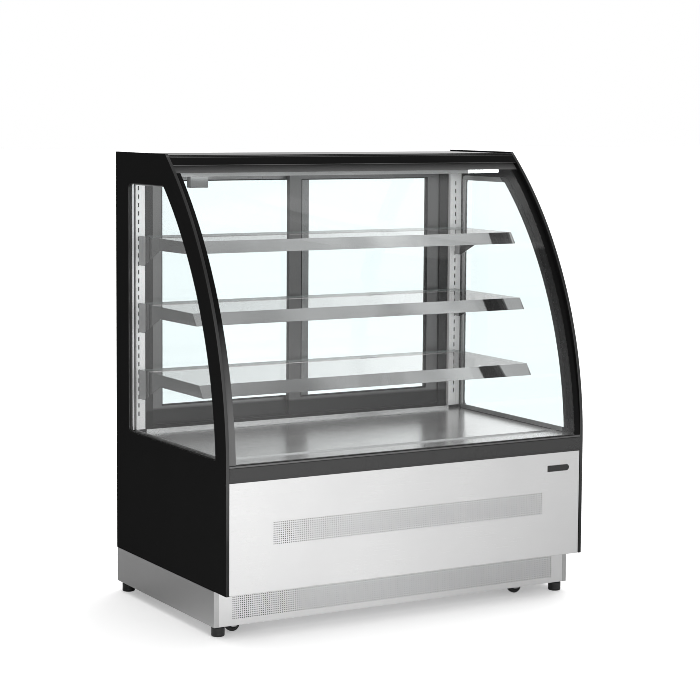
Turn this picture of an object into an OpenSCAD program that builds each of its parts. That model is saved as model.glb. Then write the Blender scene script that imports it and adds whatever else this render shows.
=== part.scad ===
// Curved glass display showcase: free-standing refrigerated counter with
// sliding rear doors, lift-out glass shelves, levelling feet and casters.
// Millimetres. Origin on the floor under the centre of the overall box,
// +Z up, the customer's side faces -Y, +X is to the customer's right.

/* [Overall] */
// Overall width across the end panels
cabinet_w = 1200; // [1180:10:1240]
// Overall depth from the fascia to the back edge of the end panels
cabinet_d = 730; // [730:5:760]
// Overall height from the floor to the top edge of the end panels
cabinet_h = 1330; // [1326:1:1334]
// Thickness of each end panel
panel_t = 10; // [8:0.5:12]

/* [Plinth] */
// Gap between the floor and the underside of the plinth
floor_gap = 30; // [28:1:32]
// Height of the top of the plinth above the floor
plinth_top = 132; // [130:1:136]
// How far the plinth front is set back from the fascia
plinth_setback = 72.5; // [70:0.5:74]
// Pitch of the ventilation slots
slot_pitch = 12; // [10:1:20]

/* [Front] */
// Radius of the curved front edge of the end panels
panel_r = 1150; // [1140:5:1160]
// Radius of the outer face of the front glass
glass_r = 1195; // [1193:1:1197]
// Thickness of the front glass
glass_t = 6; // [5:0.5:6]
// Height of the top of the lower front panel
front_panel_top = 444; // [440:1:446]

/* [Shelves] */
// Height of the lowest shelf surface
shelf_z0 = 682; // [682:25:707]
// Height step from one shelf to the next, a multiple of the upright pitch (25)
shelf_step = 200; // [175:25:200]
// Depth of the top shelf from the uprights
shelf_d_top = 313; // [300:1:315]
// Depth of the middle shelf from the uprights
shelf_d_middle = 366; // [350:1:368]
// Depth of the bottom shelf from the uprights
shelf_d_bottom = 408; // [390:1:412]

/* [Doors] */
// Half of the clear width between the rear jambs
jamb_x = 510; // [505:1:514]
// Width of the door stiles
stile_w = 42; // [38:1:46]

/* [Running gear] */
// Radius of a caster wheel
wheel_r = 22; // [20:0.5:22.5]
// Trail of a caster wheel, toward -X from its swivel
trail = 20; // [18:0.5:20.5]
// Radius of a levelling foot pad
foot_r = 19; // [17:0.5:20]

/* [Hidden] */
$fn = 96;
arc_fn = 360;                // facets of the large arcs
half_w = cabinet_w/2;
inner_x = half_w - panel_t;  // half width between the end panels
sheet_t = 2;                 // general sheet thickness
glass_tint = [0.85, 0.95, 0.95, 0.3];
shelf_tint = [0.8, 0.93, 0.9, 0.3];

// Levels and faces shared by several pieces
arc_z = 470;                 // where the panel edge starts to curve
fascia_top = 486;
glass_bot = 488;             // front glass bottom and top edges
glass_top = 1297.8;
header_z0 = 1299;            // underside of the header bar
ceiling_bot = 1288.5;
ceiling_top = ceiling_bot + sheet_t;
deck_z = 490;                // top of the deck
deck_under = deck_z - sheet_t;
upright_y = 650;             // front face of the slotted uprights
rear_y0 = 662;               // front of the rear frame
service_y = 722;             // back of the rear frame, front of the service panel

// ---------------------------------------------------------------- helpers

// Working frame: y = 0 on the fascia, moved so that the origin is mid-depth
module place() { translate([0, -cabinet_d/2, 0]) children(); }

// Box and rectangle given by two opposite corners
module box(low, high) { translate(low) cube(high - low); }
module rect(low, high) { translate(low) square(high - low); }

// Finely faceted disc for the large arcs
module arc_disc(centre, r) { translate(centre) circle(r = r, $fn = arc_fn); }

// Round bars along x and along y
module rod_x(at, r, h, center = false) {
  translate(at) rotate([0, 90, 0]) cylinder(r = r, h = h, center = center);
}
module rod_y(at, r, h) { translate(at) rotate([-90, 0, 0]) cylinder(r = r, h = h); }

// Drives a (y, z) profile along x from x0 to x1
module along_x(x0, x1) {
  translate([x0, 0, 0]) rotate([90, 0, 90]) linear_extrude(height = x1 - x0) children();
}

// Drives an (x, z) profile along y from y0 to y1
module along_y(y0, y1) {
  translate([0, y1, 0]) rotate([90, 0, 0]) linear_extrude(height = y1 - y0) children();
}

// Both sides of the cabinet
module both() {
  children();
  mirror([1, 0, 0]) children();
}

// Centred row of ventilation slots through a sheet that lies across y
slot_w = 4;
module slot_row(x0, x1, z0, z1, y0, y1) {
  last = floor((x1 - x0 - slot_w)/slot_pitch);
  margin = (x1 - x0 - last*slot_pitch - slot_w)/2;
  for (i = [0 : last]) {
    x = x0 + margin + i*slot_pitch;
    box([x, y0, z0], [x + slot_w, y1, z1]);
  }
}

// ---------------------------------------------------------------- base

tray_t = 3;                       // wall of the base tray
tray_y0 = plinth_setback + sheet_t;
tray_y1 = cabinet_d - 4;
plinth_rear_y = cabinet_d - 2;    // outer face of the rear plinth
plinth_side_t = 5;
vent_z = [46, 112];               // openings in the tray, bottom and top
grille_z = [49, 110];             // slots in the plinth, bottom and top
inlet_x = -500;                   // power inlet centre
inlet_z = 75;

// [x, y] of each foot and swivel: front left, front right, rear left, rear right
feet = [[25 - half_w, 98], [half_w - 25, 98], [25 - half_w, 700], [half_w - 25, 700]];
casters = [[-500, 121], [460, 121], [-480, 610], [480, 610]];
stud_r = 5;                       // foot stud
kingpin_r = 5;
axle_r = 3;
axle_z = wheel_r + 2;
fit = 0.05;                       // radial clearance of round fits
swivel_z = 64;                    // underside of the caster plates
pocket_top = 66.6;                // ceiling of the caster pockets

// Block about a caster, wider than its pocket by grow all round
module caster_block(at, grow, z0, z1) {
  box([at.x - 60 - grow, at.y - 43.5 - grow, z0], [at.x + 60 + grow, at.y + 52 + grow, z1]);
}

// Block centred on the power inlet
module inlet_block(half_x, half_z, y0, y1) {
  box([inlet_x - half_x, y0, inlet_z - half_z], [inlet_x + half_x, y1, inlet_z + half_z]);
}

// Closed tray with an open top centre, caster pockets and foot bosses
module base_tray() {
  rim = 40;
  place() color("#8d9092") difference() {
    union() {
      difference() {
        box([-half_w + 5, tray_y0, floor_gap], [half_w - 5, tray_y1, plinth_top]);
        box([-half_w + 5 + tray_t, tray_y0 + tray_t, floor_gap + tray_t],
            [half_w - 5 - tray_t, tray_y1 - tray_t, plinth_top - tray_t]);
        box([-half_w + rim, plinth_setback + rim, plinth_top - 4],
            [half_w - rim, cabinet_d - rim, plinth_top + 1]);
      }
      for (at = casters) caster_block(at, 2.5, floor_gap, 69);
      for (at = feet) translate([at.x, at.y, floor_gap]) cylinder(r = 10, h = 16);
    }
    for (at = casters) caster_block(at, 0, floor_gap - 1, pocket_top);
    for (at = feet) translate([at.x, at.y, floor_gap - 1]) cylinder(r = stud_r + fit, h = 20);
    // air openings behind the grilles
    box([-430, plinth_setback, vent_z[0]], [390, plinth_setback + 6, vent_z[1]]);
    box([-400, cabinet_d - 8, vent_z[0]], [400, cabinet_d - 2, vent_z[1]]);
    inlet_block(16, 13, cabinet_d - 8, cabinet_d - 2);
  }
}

module plinth_front() {
  place() color("#c4c6c8") difference() {
    box([-half_w + 2, plinth_setback, floor_gap], [half_w - 2, tray_y0, plinth_top]);
    slot_row(-544, 544, grille_z[0], grille_z[1], plinth_setback - 1, tray_y0 + 1);
  }
}

// Side plates, hollowed from the inside and open at the bottom
module plinth_sides() {
  place() color("#8f9193") both() difference() {
    box([-half_w, tray_y0, floor_gap], [-half_w + plinth_side_t, tray_y1, plinth_top]);
    box([-half_w + 1.5, tray_y0 + 10, floor_gap - 1],
        [-half_w + plinth_side_t + 1, tray_y1 - 10, plinth_top - 12]);
  }
}

module plinth_rear() {
  place() color("#8f9193") difference() {
    box([-half_w + 2, tray_y1, floor_gap], [half_w - 2, plinth_rear_y, plinth_top]);
    slot_row(-420, 420, grille_z[0], grille_z[1], tray_y1 - 1, plinth_rear_y + 1);
    inlet_block(14.1, 10.1, tray_y1 - 1, plinth_rear_y + 1);
  }
}

// Pad, cone, hexagon and stud
module foot(at) {
  neck_r = 9;
  place() color("#1c1c1d") translate([at.x, at.y, 0]) {
    cylinder(r = foot_r, h = 7);
    translate([0, 0, 7]) cylinder(r1 = foot_r, r2 = neck_r, h = 5);
    translate([0, 0, 12]) cylinder(r = neck_r, h = 6, $fn = 6);
    translate([0, 0, 18]) cylinder(r = stud_r, h = 44);
  }
}
module foot_front_left() { foot(feet[0]); }
module foot_front_right() { foot(feet[1]); }
module foot_rear_left() { foot(feet[2]); }
module foot_rear_right() { foot(feet[3]); }

// Fixed top plates with kingpin, retaining head below and collar above the fork
module caster_plates() {
  pin_z = 51;
  collar_z = 57.5;
  place() color("#a9abad") for (at = casters) translate([at.x, at.y, 0]) {
    box([-30, -25, swivel_z], [30, 25, pocket_top]);
    translate([0, 0, pin_z]) cylinder(r = kingpin_r, h = swivel_z - pin_z + 0.5);
    translate([0, 0, 49.5]) cylinder(r = 8, h = 1.6);
    translate([0, 0, collar_z]) cylinder(r = 11, h = swivel_z - collar_z + 0.5);
  }
}

// Swivelling fork with its riveted axle
module caster_fork(at) {
  place() color("#9b9da0") translate([at.x, at.y, 0]) {
    difference() {
      union() {
        translate([0, 0, 51.6]) cylinder(r = 16, h = 5.6);
        // (x, z) outline of each cheek
        for (side = [-1, 1]) translate([0, side*12.75, 0]) along_y(-1.25, 1.25)
          polygon([[-9, 56], [9, 56], [9, 50],
                   [-trail + 7, 17], [-trail - 7, 17], [-trail - 8, 28]]);
      }
      translate([0, 0, 50]) cylinder(r = kingpin_r + fit, h = 9);
      rod_y([-trail, -20, axle_z], r = axle_r, h = 40);
    }
    rod_y([-trail, -14, axle_z], r = axle_r, h = 28);
    for (side = [-1, 1])
      translate([-trail, side*14.9, axle_z]) rotate([90, 0, 0])
        cylinder(r = 4.5, h = 1.8, center = true);
  }
}
module caster_fork_front_left() { caster_fork(casters[0]); }
module caster_fork_front_right() { caster_fork(casters[1]); }
module caster_fork_rear_left() { caster_fork(casters[2]); }
module caster_fork_rear_right() { caster_fork(casters[3]); }

module caster_wheel(at) {
  bore_r = axle_r + fit;
  // (radius, position along the axle)
  section = [[bore_r, -10], [6, -10], [6, -7], [13, -5.5], [13, -7.5],
             [wheel_r - 3, -9], [wheel_r, -6], [wheel_r, 6], [wheel_r - 3, 9],
             [13, 7.5], [13, 5.5], [6, 7], [6, 10], [bore_r, 10]];
  place() color("#18181a") translate([at.x - trail, at.y, axle_z]) rotate([90, 0, 0])
    rotate_extrude() polygon(section);
}
module caster_wheel_front_left() { caster_wheel(casters[0]); }
module caster_wheel_front_right() { caster_wheel(casters[1]); }
module caster_wheel_rear_left() { caster_wheel(casters[2]); }
module caster_wheel_rear_right() { caster_wheel(casters[3]); }

// ---------------------------------------------------------------- ends

side_glass_x = -half_w + panel_t;  // outer face of the left side glass
side_glass_t = 6;
trim_t = 3;
window_lap = 9;                    // how far the side glass laps the opening

// Outer side profile of an end panel
module side_profile() {
  rect([0, plinth_top], [cabinet_d, arc_z]);
  intersection() {
    rect([0, arc_z - 1], [cabinet_d, cabinet_h]);
    union() {
      arc_disc([panel_r, arc_z], panel_r);
      rect([0, arc_z - 1], [20, arc_z]);
    }
  }
}

// Window profile with curved front and rounded rear corners, grown all round
module window_profile(grow = 0) {
  y0 = 60 - grow;
  y1 = 640 + grow;
  z0 = 499 - grow;
  z1 = 1240 + grow;
  corner_r = 18 + grow;
  intersection() {
    arc_disc([1175.4, 443.5], 1111.3 + grow);
    union() {
      rect([y0, z0], [y1 - corner_r, z1]);
      rect([y1 - corner_r - 1, z0 + corner_r], [y1, z1 - corner_r]);
      for (z = [z0 + corner_r, z1 - corner_r])
        translate([y1 - corner_r, z]) circle(r = corner_r);
    }
  }
}

module end_panel() {
  place() color("#1b1b1d") along_x(-half_w, -half_w + panel_t) difference() {
    side_profile();
    window_profile();
  }
}
module end_panel_left() { end_panel(); }
module end_panel_right() { mirror([1, 0, 0]) end_panel(); }

module side_glass() {
  place() color(glass_tint) along_x(side_glass_x, side_glass_x + side_glass_t)
    window_profile(window_lap);
}
module side_glass_left() { side_glass(); }
module side_glass_right() { mirror([1, 0, 0]) side_glass(); }

// Retaining frames on the inner face of the side glass
module window_trims() {
  x0 = side_glass_x + side_glass_t;
  place() color("#8a8c8e") both() along_x(x0, x0 + trim_t) difference() {
    intersection() {
      window_profile(window_lap);
      translate([0, deck_z + 2]) square([upright_y - 14, 800]);
    }
    intersection() {
      window_profile(-6);
      translate([0, 480]) square([upright_y - 24, 800]);
    }
  }
}

// ---------------------------------------------------------------- front

glass_centre = [0.3 + glass_r, 432.7];  // (y, z) of the front glass arc
panel_centre = [panel_r, arc_z];        // (y, z) of the end panel arc
front_y = 1;                            // outer face of the lower front panel
well_y0 = 14;                           // front of the well

// Sheet with side flanges and a bottom flange
module lower_front_panel() {
  place() color("#d3d4d5") difference() {
    union() {
      box([-inner_x, front_y, plinth_top], [inner_x, front_y + sheet_t, front_panel_top]);
      both() box([-inner_x, 2, plinth_top], [-inner_x + sheet_t, well_y0, front_panel_top]);
      box([-inner_x, 2, plinth_top], [inner_x, 18, plinth_top + sheet_t]);
    }
    slot_row(-454, 454, 263, 327, front_y - 1, front_y + sheet_t + 1);
  }
}

// Channel open to the rear
module fascia_strip() {
  place() color("#3a3a3c") along_x(-inner_x, inner_x) difference() {
    rect([0, front_panel_top], [13, fascia_top]);
    rect([sheet_t, front_panel_top + sheet_t], [14, fascia_top - sheet_t]);
  }
}

// Blank plate with its +X end rounded, bonded to the lower front panel
module badge_plate() {
  end_x = 541;
  centre_z = 397;
  half_h = 10;
  place() color("#17171a") {
    box([471, 0.2, centre_z - half_h], [end_x, front_y, centre_z + half_h]);
    translate([end_x, front_y, centre_z]) rotate([90, 0, 0]) cylinder(r = half_h, h = 0.8);
  }
}

module front_glass() {
  place() color(glass_tint) along_x(-inner_x + 0.5, inner_x - 0.5) intersection() {
    difference() {
      arc_disc(glass_centre, glass_r);
      arc_disc(glass_centre, glass_r - glass_t);
    }
    rect([-10, glass_bot], [590, glass_top]);
  }
}

module glass_channel() {
  lip = 1.2;
  place() color("#b9bbbd") along_x(-inner_x, inner_x) difference() {
    rect([0, fascia_top], [12, fascia_top + 7]);
    rect([lip, glass_bot], [2*lip + glass_t, fascia_top + 8]);
  }
}

// Hollow bar whose front follows the end panel arc, open to the rear
module header_bar() {
  place() color("#161618") along_x(-inner_x, inner_x) difference() {
    intersection() {
      arc_disc(panel_centre, panel_r);
      rect([330, header_z0], [402, header_z0 + 27.5]);
    }
    intersection() {
      arc_disc(panel_centre, panel_r - 3.5);
      rect([330, header_z0 + 3], [410, header_z0 + 24]);
    }
  }
}

// Sheet with flanges turned down at the front and rear
module top_sheet() {
  y0 = 402;
  y1 = 728;
  top = 1325;
  place() color("#c6c8ca") difference() {
    box([-inner_x, y0, ceiling_top], [inner_x, y1, top]);
    box([-inner_x - 1, y0 + sheet_t, 1280], [inner_x + 1, y1 - sheet_t, top - sheet_t]);
  }
}

module ceiling_panel() {
  step_y = 394;
  place() color("#9c9ea0") {
    // lip between the glass edge and the header bar
    box([-inner_x, 355, glass_top], [inner_x, step_y, header_z0]);
    box([-inner_x, step_y - sheet_t, ceiling_bot], [inner_x, step_y, header_z0]);
    box([-inner_x, step_y - sheet_t, ceiling_bot], [inner_x, rear_y0, ceiling_top]);
  }
}

tube_x = 560;
tube_y = 415;
tube_z = 1270;
tube_r = 6;

// Tube with a ball at its right end and a wider cap at its left end
module led_tube() {
  place() color("#f4f6f4") {
    rod_x([-tube_x, tube_y, tube_z], r = tube_r, h = 2*tube_x + 2);
    translate([tube_x + 2, tube_y, tube_z]) sphere(r = tube_r);
    rod_x([-tube_x, tube_y, tube_z], r = 7, h = 14);
  }
}

// Spring clips that hang the tube from the ceiling
module led_clips() {
  place() color("#7d7f82") for (x = [-400, 0, 400]) translate([x, 0, 0]) {
    box([-6, tube_y - 5.5, tube_z + 8], [6, tube_y + 5.5, ceiling_bot]);
    difference() {
      rod_x([-6, tube_y, tube_z], r = tube_r + 2.5, h = 12);
      rod_x([-7, tube_y, tube_z], r = tube_r, h = 14);
      box([-7, tube_y - 10, tube_z - 15], [7, tube_y + 10, tube_z - 2]);
    }
  }
}

// Hollow box with bottom slots, on a stem from the ceiling
module sensor_cover() {
  low = [-500, 426, 1231];
  high = [-443, 450, 1267];
  wall = [2, 2, 2];
  place() color("#77797b") difference() {
    union() {
      box(low, high);
      box([-486, 432, high.z - 1], [-457, 444, ceiling_bot]);
    }
    box(low + wall, high - wall);
    for (x = [-490 : 10 : -460]) box([x, low.y + 4, low.z - 1], [x + 4, high.y - 4, low.z + 3]);
  }
}

// ---------------------------------------------------------------- rear

front_door_y = 669;     // front faces of the two doors
rear_door_y = 693;
door_t = 18;
door_z0 = deck_z + 13;
door_z1 = 1283;
opening_top = 1276;
left_door_x = [-jamb_x + 1, stile_w - 1];
right_door_x = [-stile_w + 1, jamb_x - 1];
rebate = 8;             // how far a pane enters its frame

// Sill, jambs and head welded into one frame, with the two door tracks
module rear_frame() {
  sill_z = deck_z + 16;
  groove_z = deck_z + 10;
  place() color("#6f7173") difference() {
    box([-inner_x, rear_y0, deck_under], [inner_x, service_y, ceiling_top]);
    box([-jamb_x, rear_y0 - 1, sill_z], [jamb_x, service_y + 1, opening_top]);
    for (y = [front_door_y, rear_door_y]) {
      // top track, closed at the ends by the jambs
      box([-jamb_x, y - 0.5, 1270], [jamb_x, y + door_t + 0.5, 1286]);
      // bottom track grooves either side of the guide fin
      box([-jamb_x, y - 0.5, groove_z], [jamb_x, y + 7.5, sill_z + 1]);
      box([-jamb_x, y + 10.5, groove_z], [jamb_x, y + door_t + 0.5, sill_z + 1]);
    }
    // hollow in each jamb
    both() box([-inner_x + 3, rear_y0 + 3, deck_z + 20], [-jamb_x - 6, service_y - 3, 1270]);
  }
}

module rear_service_panel() {
  place() color("#a3a5a7") difference() {
    box([-inner_x, service_y, plinth_top], [inner_x, service_y + sheet_t, 504]);
    slot_row(-420, 200, 200, 300, service_y - 1, service_y + sheet_t + 1);
    control_block(0.5, service_y - 1, service_y + sheet_t + 1);
  }
}

// Pane of a door between x[0] and x[1], also the rebate it sits in
module door_pane(x, y0) {
  box([x[0] + stile_w - rebate, y0 + 5, 552],
      [x[1] - stile_w + rebate, y0 + 13, door_z1 - 32]);
}

// Door frame: two stiles and two rails round a rebated pane
module door_frame(x, y0, grip_x) {
  place() color("#808284") difference() {
    box([x[0], y0, door_z0], [x[1], y0 + door_t, door_z1]);
    box([x[0] + stile_w, y0 - 1, 552 + rebate],
        [x[1] - stile_w, y0 + door_t + 1, door_z1 - 32 - rebate]);
    door_pane(x, y0);
    // groove over the guide fin
    box([x[0] - 1, y0 + 6, door_z0 - 1], [x[1] + 1, y0 + 12, door_z0 + 3]);
    // finger pull let into the outer stile from the staff side
    box([grip_x - 9, y0 + 10, 850], [grip_x + 9, y0 + door_t + 1, 980]);
  }
}
module door_glass(x, y0) { place() color(glass_tint) door_pane(x, y0); }
module door_left_frame() { door_frame(left_door_x, rear_door_y, left_door_x[0] + stile_w/2); }
module door_left_glass() { door_glass(left_door_x, rear_door_y); }
module door_right_frame() { door_frame(right_door_x, front_door_y, right_door_x[1] - stile_w/2); }
module door_right_glass() { door_glass(right_door_x, front_door_y); }

// ---------------------------------------------------------------- interior

well_z0 = 332;
well_inset = 40;                  // from the outer skirt to the inner tank
well_floor = well_z0 + well_inset;

// Double-walled tank: pressed inner tank, flange under the deck, outer skirt
module well_liner() {
  wall = 1.5;
  outset = well_inset - wall;
  place() color("#b6b8ba") difference() {
    union() {
      difference() {
        box([-inner_x, well_y0, well_z0], [inner_x, rear_y0, deck_under]);
        box([-inner_x + wall, well_y0 + wall, well_z0 - 1],
            [inner_x - wall, rear_y0 - wall, deck_under - wall]);
      }
      box([-inner_x + outset, well_y0 + outset, well_z0 + outset],
          [inner_x - outset, rear_y0 - outset, deck_under]);
    }
    box([-inner_x + well_inset, well_y0 + well_inset, well_floor],
        [inner_x - well_inset, rear_y0 - well_inset, deck_z + 1]);
    // round hole in the tank floor
    translate([200, 520, well_floor - 10]) cylinder(r = 9, h = 20);
  }
}

// Deck with a low rib at the front and a taller one at the back
module deck_plate() {
  place() color("#c9cbcd") difference() {
    union() {
      box([-inner_x + 0.5, well_y0, deck_under], [inner_x - 0.5, rear_y0 - 1, deck_z]);
      box([-inner_x + 10, 112, deck_z - 1], [inner_x - 10, 114, deck_z + 4]);
      box([-540, rear_y0 - 18, deck_z - 1], [540, rear_y0 - 16, deck_z + 10]);
    }
    // front air strip
    for (x = [-540 : 15 : 535]) box([x, 56, deck_under - 1], [x + 5, 104, deck_z + 1]);
    // return air slots at the back
    for (x = [-500 : 40 : 470]) box([x, 600, deck_under - 1], [x + 30, 610, deck_z + 1]);
  }
}

upright_x = inner_x - 28;     // centre line of each upright
upright_half = 20.5;
upright_pitch = 25;           // pitch of the slots in the uprights
upright_slots = 28;
top_slot_z = 1223;            // centre of the top slot

// Slotted channel open to the rear, with a foot flange to the end panel
module upright() {
  z0 = deck_z + 10;
  left_x = upright_x - upright_half;
  right_x = upright_x + upright_half;
  difference() {
    union() {
      box([left_x, upright_y, z0], [right_x, upright_y + sheet_t, ceiling_bot]);
      for (x = [left_x, right_x - sheet_t])
        box([x, upright_y, z0], [x + sheet_t, rear_y0, ceiling_bot]);
      box([right_x - sheet_t, rear_y0 - sheet_t, z0], [inner_x, rear_y0, ceiling_bot]);
    }
    for (i = [0 : upright_slots - 1]) {
      z = top_slot_z - i*upright_pitch;
      box([upright_x - 2.3, upright_y - 1, z - 6.5], [upright_x + 2.3, upright_y + 3, z + 6.5]);
    }
  }
}
module shelf_uprights() { place() color("#b4b6b8") both() upright(); }

// Shelf frame: inclined front rail, side plates with hooks, pane ledges
module shelf_frame(top, depth) {
  front = upright_y - depth;
  back = upright_y;
  hook_z = top - 15.5;
  plate_x0 = upright_x - 1.8;
  plate_x1 = upright_x + 0.2;
  rail_x = upright_x - 1.5;
  ledge = top - 6;             // underside of the pane
  place() color("#c2c4c6") {
    both() {
      // side plate
      along_x(plate_x0, plate_x1)
        polygon([[front, top], [back, top], [back, top - 88], [back - 36, top - 88],
                 [back - 150, top - 36], [front - 22, top - 34], [front - 24, top - 32]]);
      // hooks through the upright slots
      for (z = [hook_z, hook_z - 2*upright_pitch])
        along_x(plate_x0, plate_x1)
          polygon([[back - 1, z], [back + 3, z], [back + 3, z - 8], [back + 6, z - 8],
                   [back + 6, z + 5], [back - 1, z + 5]]);
      // ledge under the pane
      box([upright_x - 14, front + 2, ledge - 2], [upright_x - 1, back - 8, ledge]);
    }
    // inclined front rail
    along_x(-rail_x, rail_x)
      polygon([[front, top], [front + 2.4, top], [front - 21.6, top - 33],
               [front - 14, top - 33], [front - 14, top - 34], [front - 24, top - 34]]);
    box([-rail_x, front - 4, ledge - 2], [rail_x, front + 12, ledge]);
    // rear stiffener
    box([-rail_x, back - 20, ledge - 3], [rail_x, back - 10, ledge]);
  }
}
module shelf_glass(top, depth) {
  place() color(shelf_tint)
    box([-upright_x + 3, upright_y - depth + 3, top - 6], [upright_x - 3, upright_y - 8, top]);
}
module shelf_frame_bottom() { shelf_frame(shelf_z0, shelf_d_bottom); }
module shelf_glass_bottom() { shelf_glass(shelf_z0, shelf_d_bottom); }
module shelf_frame_middle() { shelf_frame(shelf_z0 + shelf_step, shelf_d_middle); }
module shelf_glass_middle() { shelf_glass(shelf_z0 + shelf_step, shelf_d_middle); }
module shelf_frame_top() { shelf_frame(shelf_z0 + 2*shelf_step, shelf_d_top); }
module shelf_glass_top() { shelf_glass(shelf_z0 + 2*shelf_step, shelf_d_top); }

// ---------------------------------------------------------------- machinery

condenser_fan_at = [96, 400, 180];
evaporator_fan_at = [-60, 236, 428];
condenser_shaft_r = 4;
evaporator_shaft_r = 3;
tray_floor = floor_gap + tray_t;

// Base plate on four mounts, domed shell, rear box and stub pipe
module compressor() {
  shell_r = 66;
  place() color("#202124") translate([-300, 430, floor_gap]) {
    box([-85, -60, 21], [85, 60, 25]);
    for (x = [-72, 72]) for (y = [-48, 48]) translate([x, y, tray_t]) cylinder(r = 11, h = 18.5);
    translate([0, 0, 24]) cylinder(r = shell_r, h = 110);
    translate([0, 0, 134]) cylinder(r1 = shell_r, r2 = 44, h = 26);
    box([-28, 62, 40], [28, 88, 102]);
    translate([40, -20, 134]) cylinder(r = 5, h = 60);
  }
}

// Fins, tubes, end plates and shroud
module condenser() {
  y0 = 284;
  y1 = 510;
  top = 306;
  place() color("#7a6f60") {
    for (i = [0 : 15]) box([148, 292 + i*14, 70], [186, 294 + i*14, 300]);
    for (z = [90 : 40 : 290]) rod_y([167, y0 + 2, z], r = 5, h = 222);
    for (y = [y0, y1 - 2]) box([146, y, tray_floor], [188, y + 2, top]);
    // fan shroud
    difference() {
      box([140, y0, 62], [146, y1, top]);
      rod_x([130, condenser_fan_at.y, condenser_fan_at.z], r = 100, h = 30);
    }
  }
}

// Hub along x with a blind shaft bore from -x and five twisted flat blades
module fan_rotor(hub_r, hub_h, bore_r, bore_h, tip_r, blade_w) {
  blade_count = 5;
  difference() {
    rod_x([-hub_h/2, 0, 0], r = hub_r, h = hub_h);
    rod_x([-hub_h/2 - 1, 0, 0], r = bore_r, h = bore_h);
  }
  for (i = [0 : blade_count - 1]) rotate([i*360/blade_count, 0, 0]) intersection() {
    translate([0, 0, 8]) rotate([0, 0, 28])
      translate([-1, -blade_w/2, 0]) cube([2, blade_w, tip_r]);
    rod_x([-20, 0, 0], r = tip_r, h = 40);
  }
}

module condenser_fan() {
  place() color("#2a2b2d") translate(condenser_fan_at + [22, 0, 0])
    fan_rotor(hub_r = 22, hub_h = 18, bore_r = condenser_shaft_r + fit, bore_h = 13,
              tip_r = 94, blade_w = 50);
}

// Fins, tubes and end plates
module evaporator() {
  place() color("#a8aaac") {
    for (i = [0 : 21]) box([-320 + i*28, 330, 374], [-318 + i*28, 560, 466]);
    for (y = [360 : 56 : 540]) for (z = [396, 444]) rod_x([-340, y, z], r = 5, h = 628);
    for (x = [-342, 286]) box([x, 322, well_floor], [x + 2, 568, 470]);
  }
}

module evaporator_fan() {
  place() color("#2a2b2d") translate(evaporator_fan_at) rotate([0, 0, 90])
    fan_rotor(hub_r = 16, hub_h = 14, bore_r = evaporator_shaft_r + fit, bore_h = 10,
              tip_r = 48, blade_w = 26);
}

// Both fan motors, each with its shaft and bracket
module fan_motors() {
  place() color("#55575a") {
    translate(condenser_fan_at) {
      rod_x([-40, 0, 0], r = 26, h = 48);
      rod_x([7, 0, 0], r = condenser_shaft_r, h = 17);
      box([-36, -20, tray_floor - condenser_fan_at.z], [-6, 20, -20]);
    }
    translate(evaporator_fan_at) {
      rod_y([0, -46, 0], r = 18, h = 34);
      rod_y([0, -13, 0], r = evaporator_shaft_r, h = 14);
      box([-12, -42, well_floor - evaporator_fan_at.z], [12, -20, -12]);
    }
  }
}

// ---------------------------------------------------------------- controls

control_x = 330;
control_z = 420;
switch_x = control_x + 56;
pivot_y = service_y + 1;      // axis of the rocker switch
key_x = [-24, -12, 0];        // down, up and set keys, from control_x

// Block larger than the control housing by grow in x and z
module control_block(grow, y0, y1) {
  box([control_x - 35 - grow, y0, control_z - 14 - grow],
      [switch_x + 13 + grow, y1, control_z + 14 + grow]);
}

// Block larger than a key by grow in x and z
module key_block(x, grow, y0) {
  box([control_x + x - 4 - grow, y0, control_z - 13 - grow],
      [control_x + x + 4 + grow, service_y + 6, control_z - 6 + grow]);
}

// Control unit let into the service panel: bezel, housing, key openings and
// the cradle and pivot pins of the rocker switch
module control_unit() {
  place() color("#242529") {
    difference() {
      union() {
        control_block(3.5, service_y + 2, service_y + 5);
        control_block(0, service_y - 40, service_y + 3);
      }
      for (x = key_x) key_block(x, 0.1, service_y - 2);
      box([switch_x - 9.8, service_y - 8, control_z - 7.4],
          [switch_x + 9.8, service_y + 6, control_z + 7.4]);
    }
    for (side = [-1, 1])
      rod_x([switch_x + side*9, pivot_y, control_z], r = 1.5, h = 4, center = true);
  }
}

module button(x) { place() color("#c9cbcc") key_block(x, 0, service_y - 0.6); }
module button_down() { button(key_x[0]); }
module button_up() { button(key_x[1]); }
module button_set() { button(key_x[2]); }

// Rocker on two round pivots, shown at ON
module light_switch() {
  place() color("#9c2b26") translate([switch_x, pivot_y, control_z]) rotate([8, 0, 0])
    difference() {
      intersection() {
        rod_x([0, 0, 0], r = 6.4, h = 19, center = true);
        box([-9.5, -7, -7], [9.5, 5, 7]);
      }
      for (side = [-1, 1]) rod_x([side*8.6, 0, 0], r = 1.5 + fit, h = 4, center = true);
    }
}

// Power inlet in the plinth rear, its flange flush with the end panels
module power_inlet() {
  place() color("#1a1a1c") difference() {
    union() {
      inlet_block(14, 10, cabinet_d - 34, plinth_rear_y);
      inlet_block(20, 15, plinth_rear_y, cabinet_d);
    }
    inlet_block(11, 7, cabinet_d - 18, cabinet_d + 1);
  }
}

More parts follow.
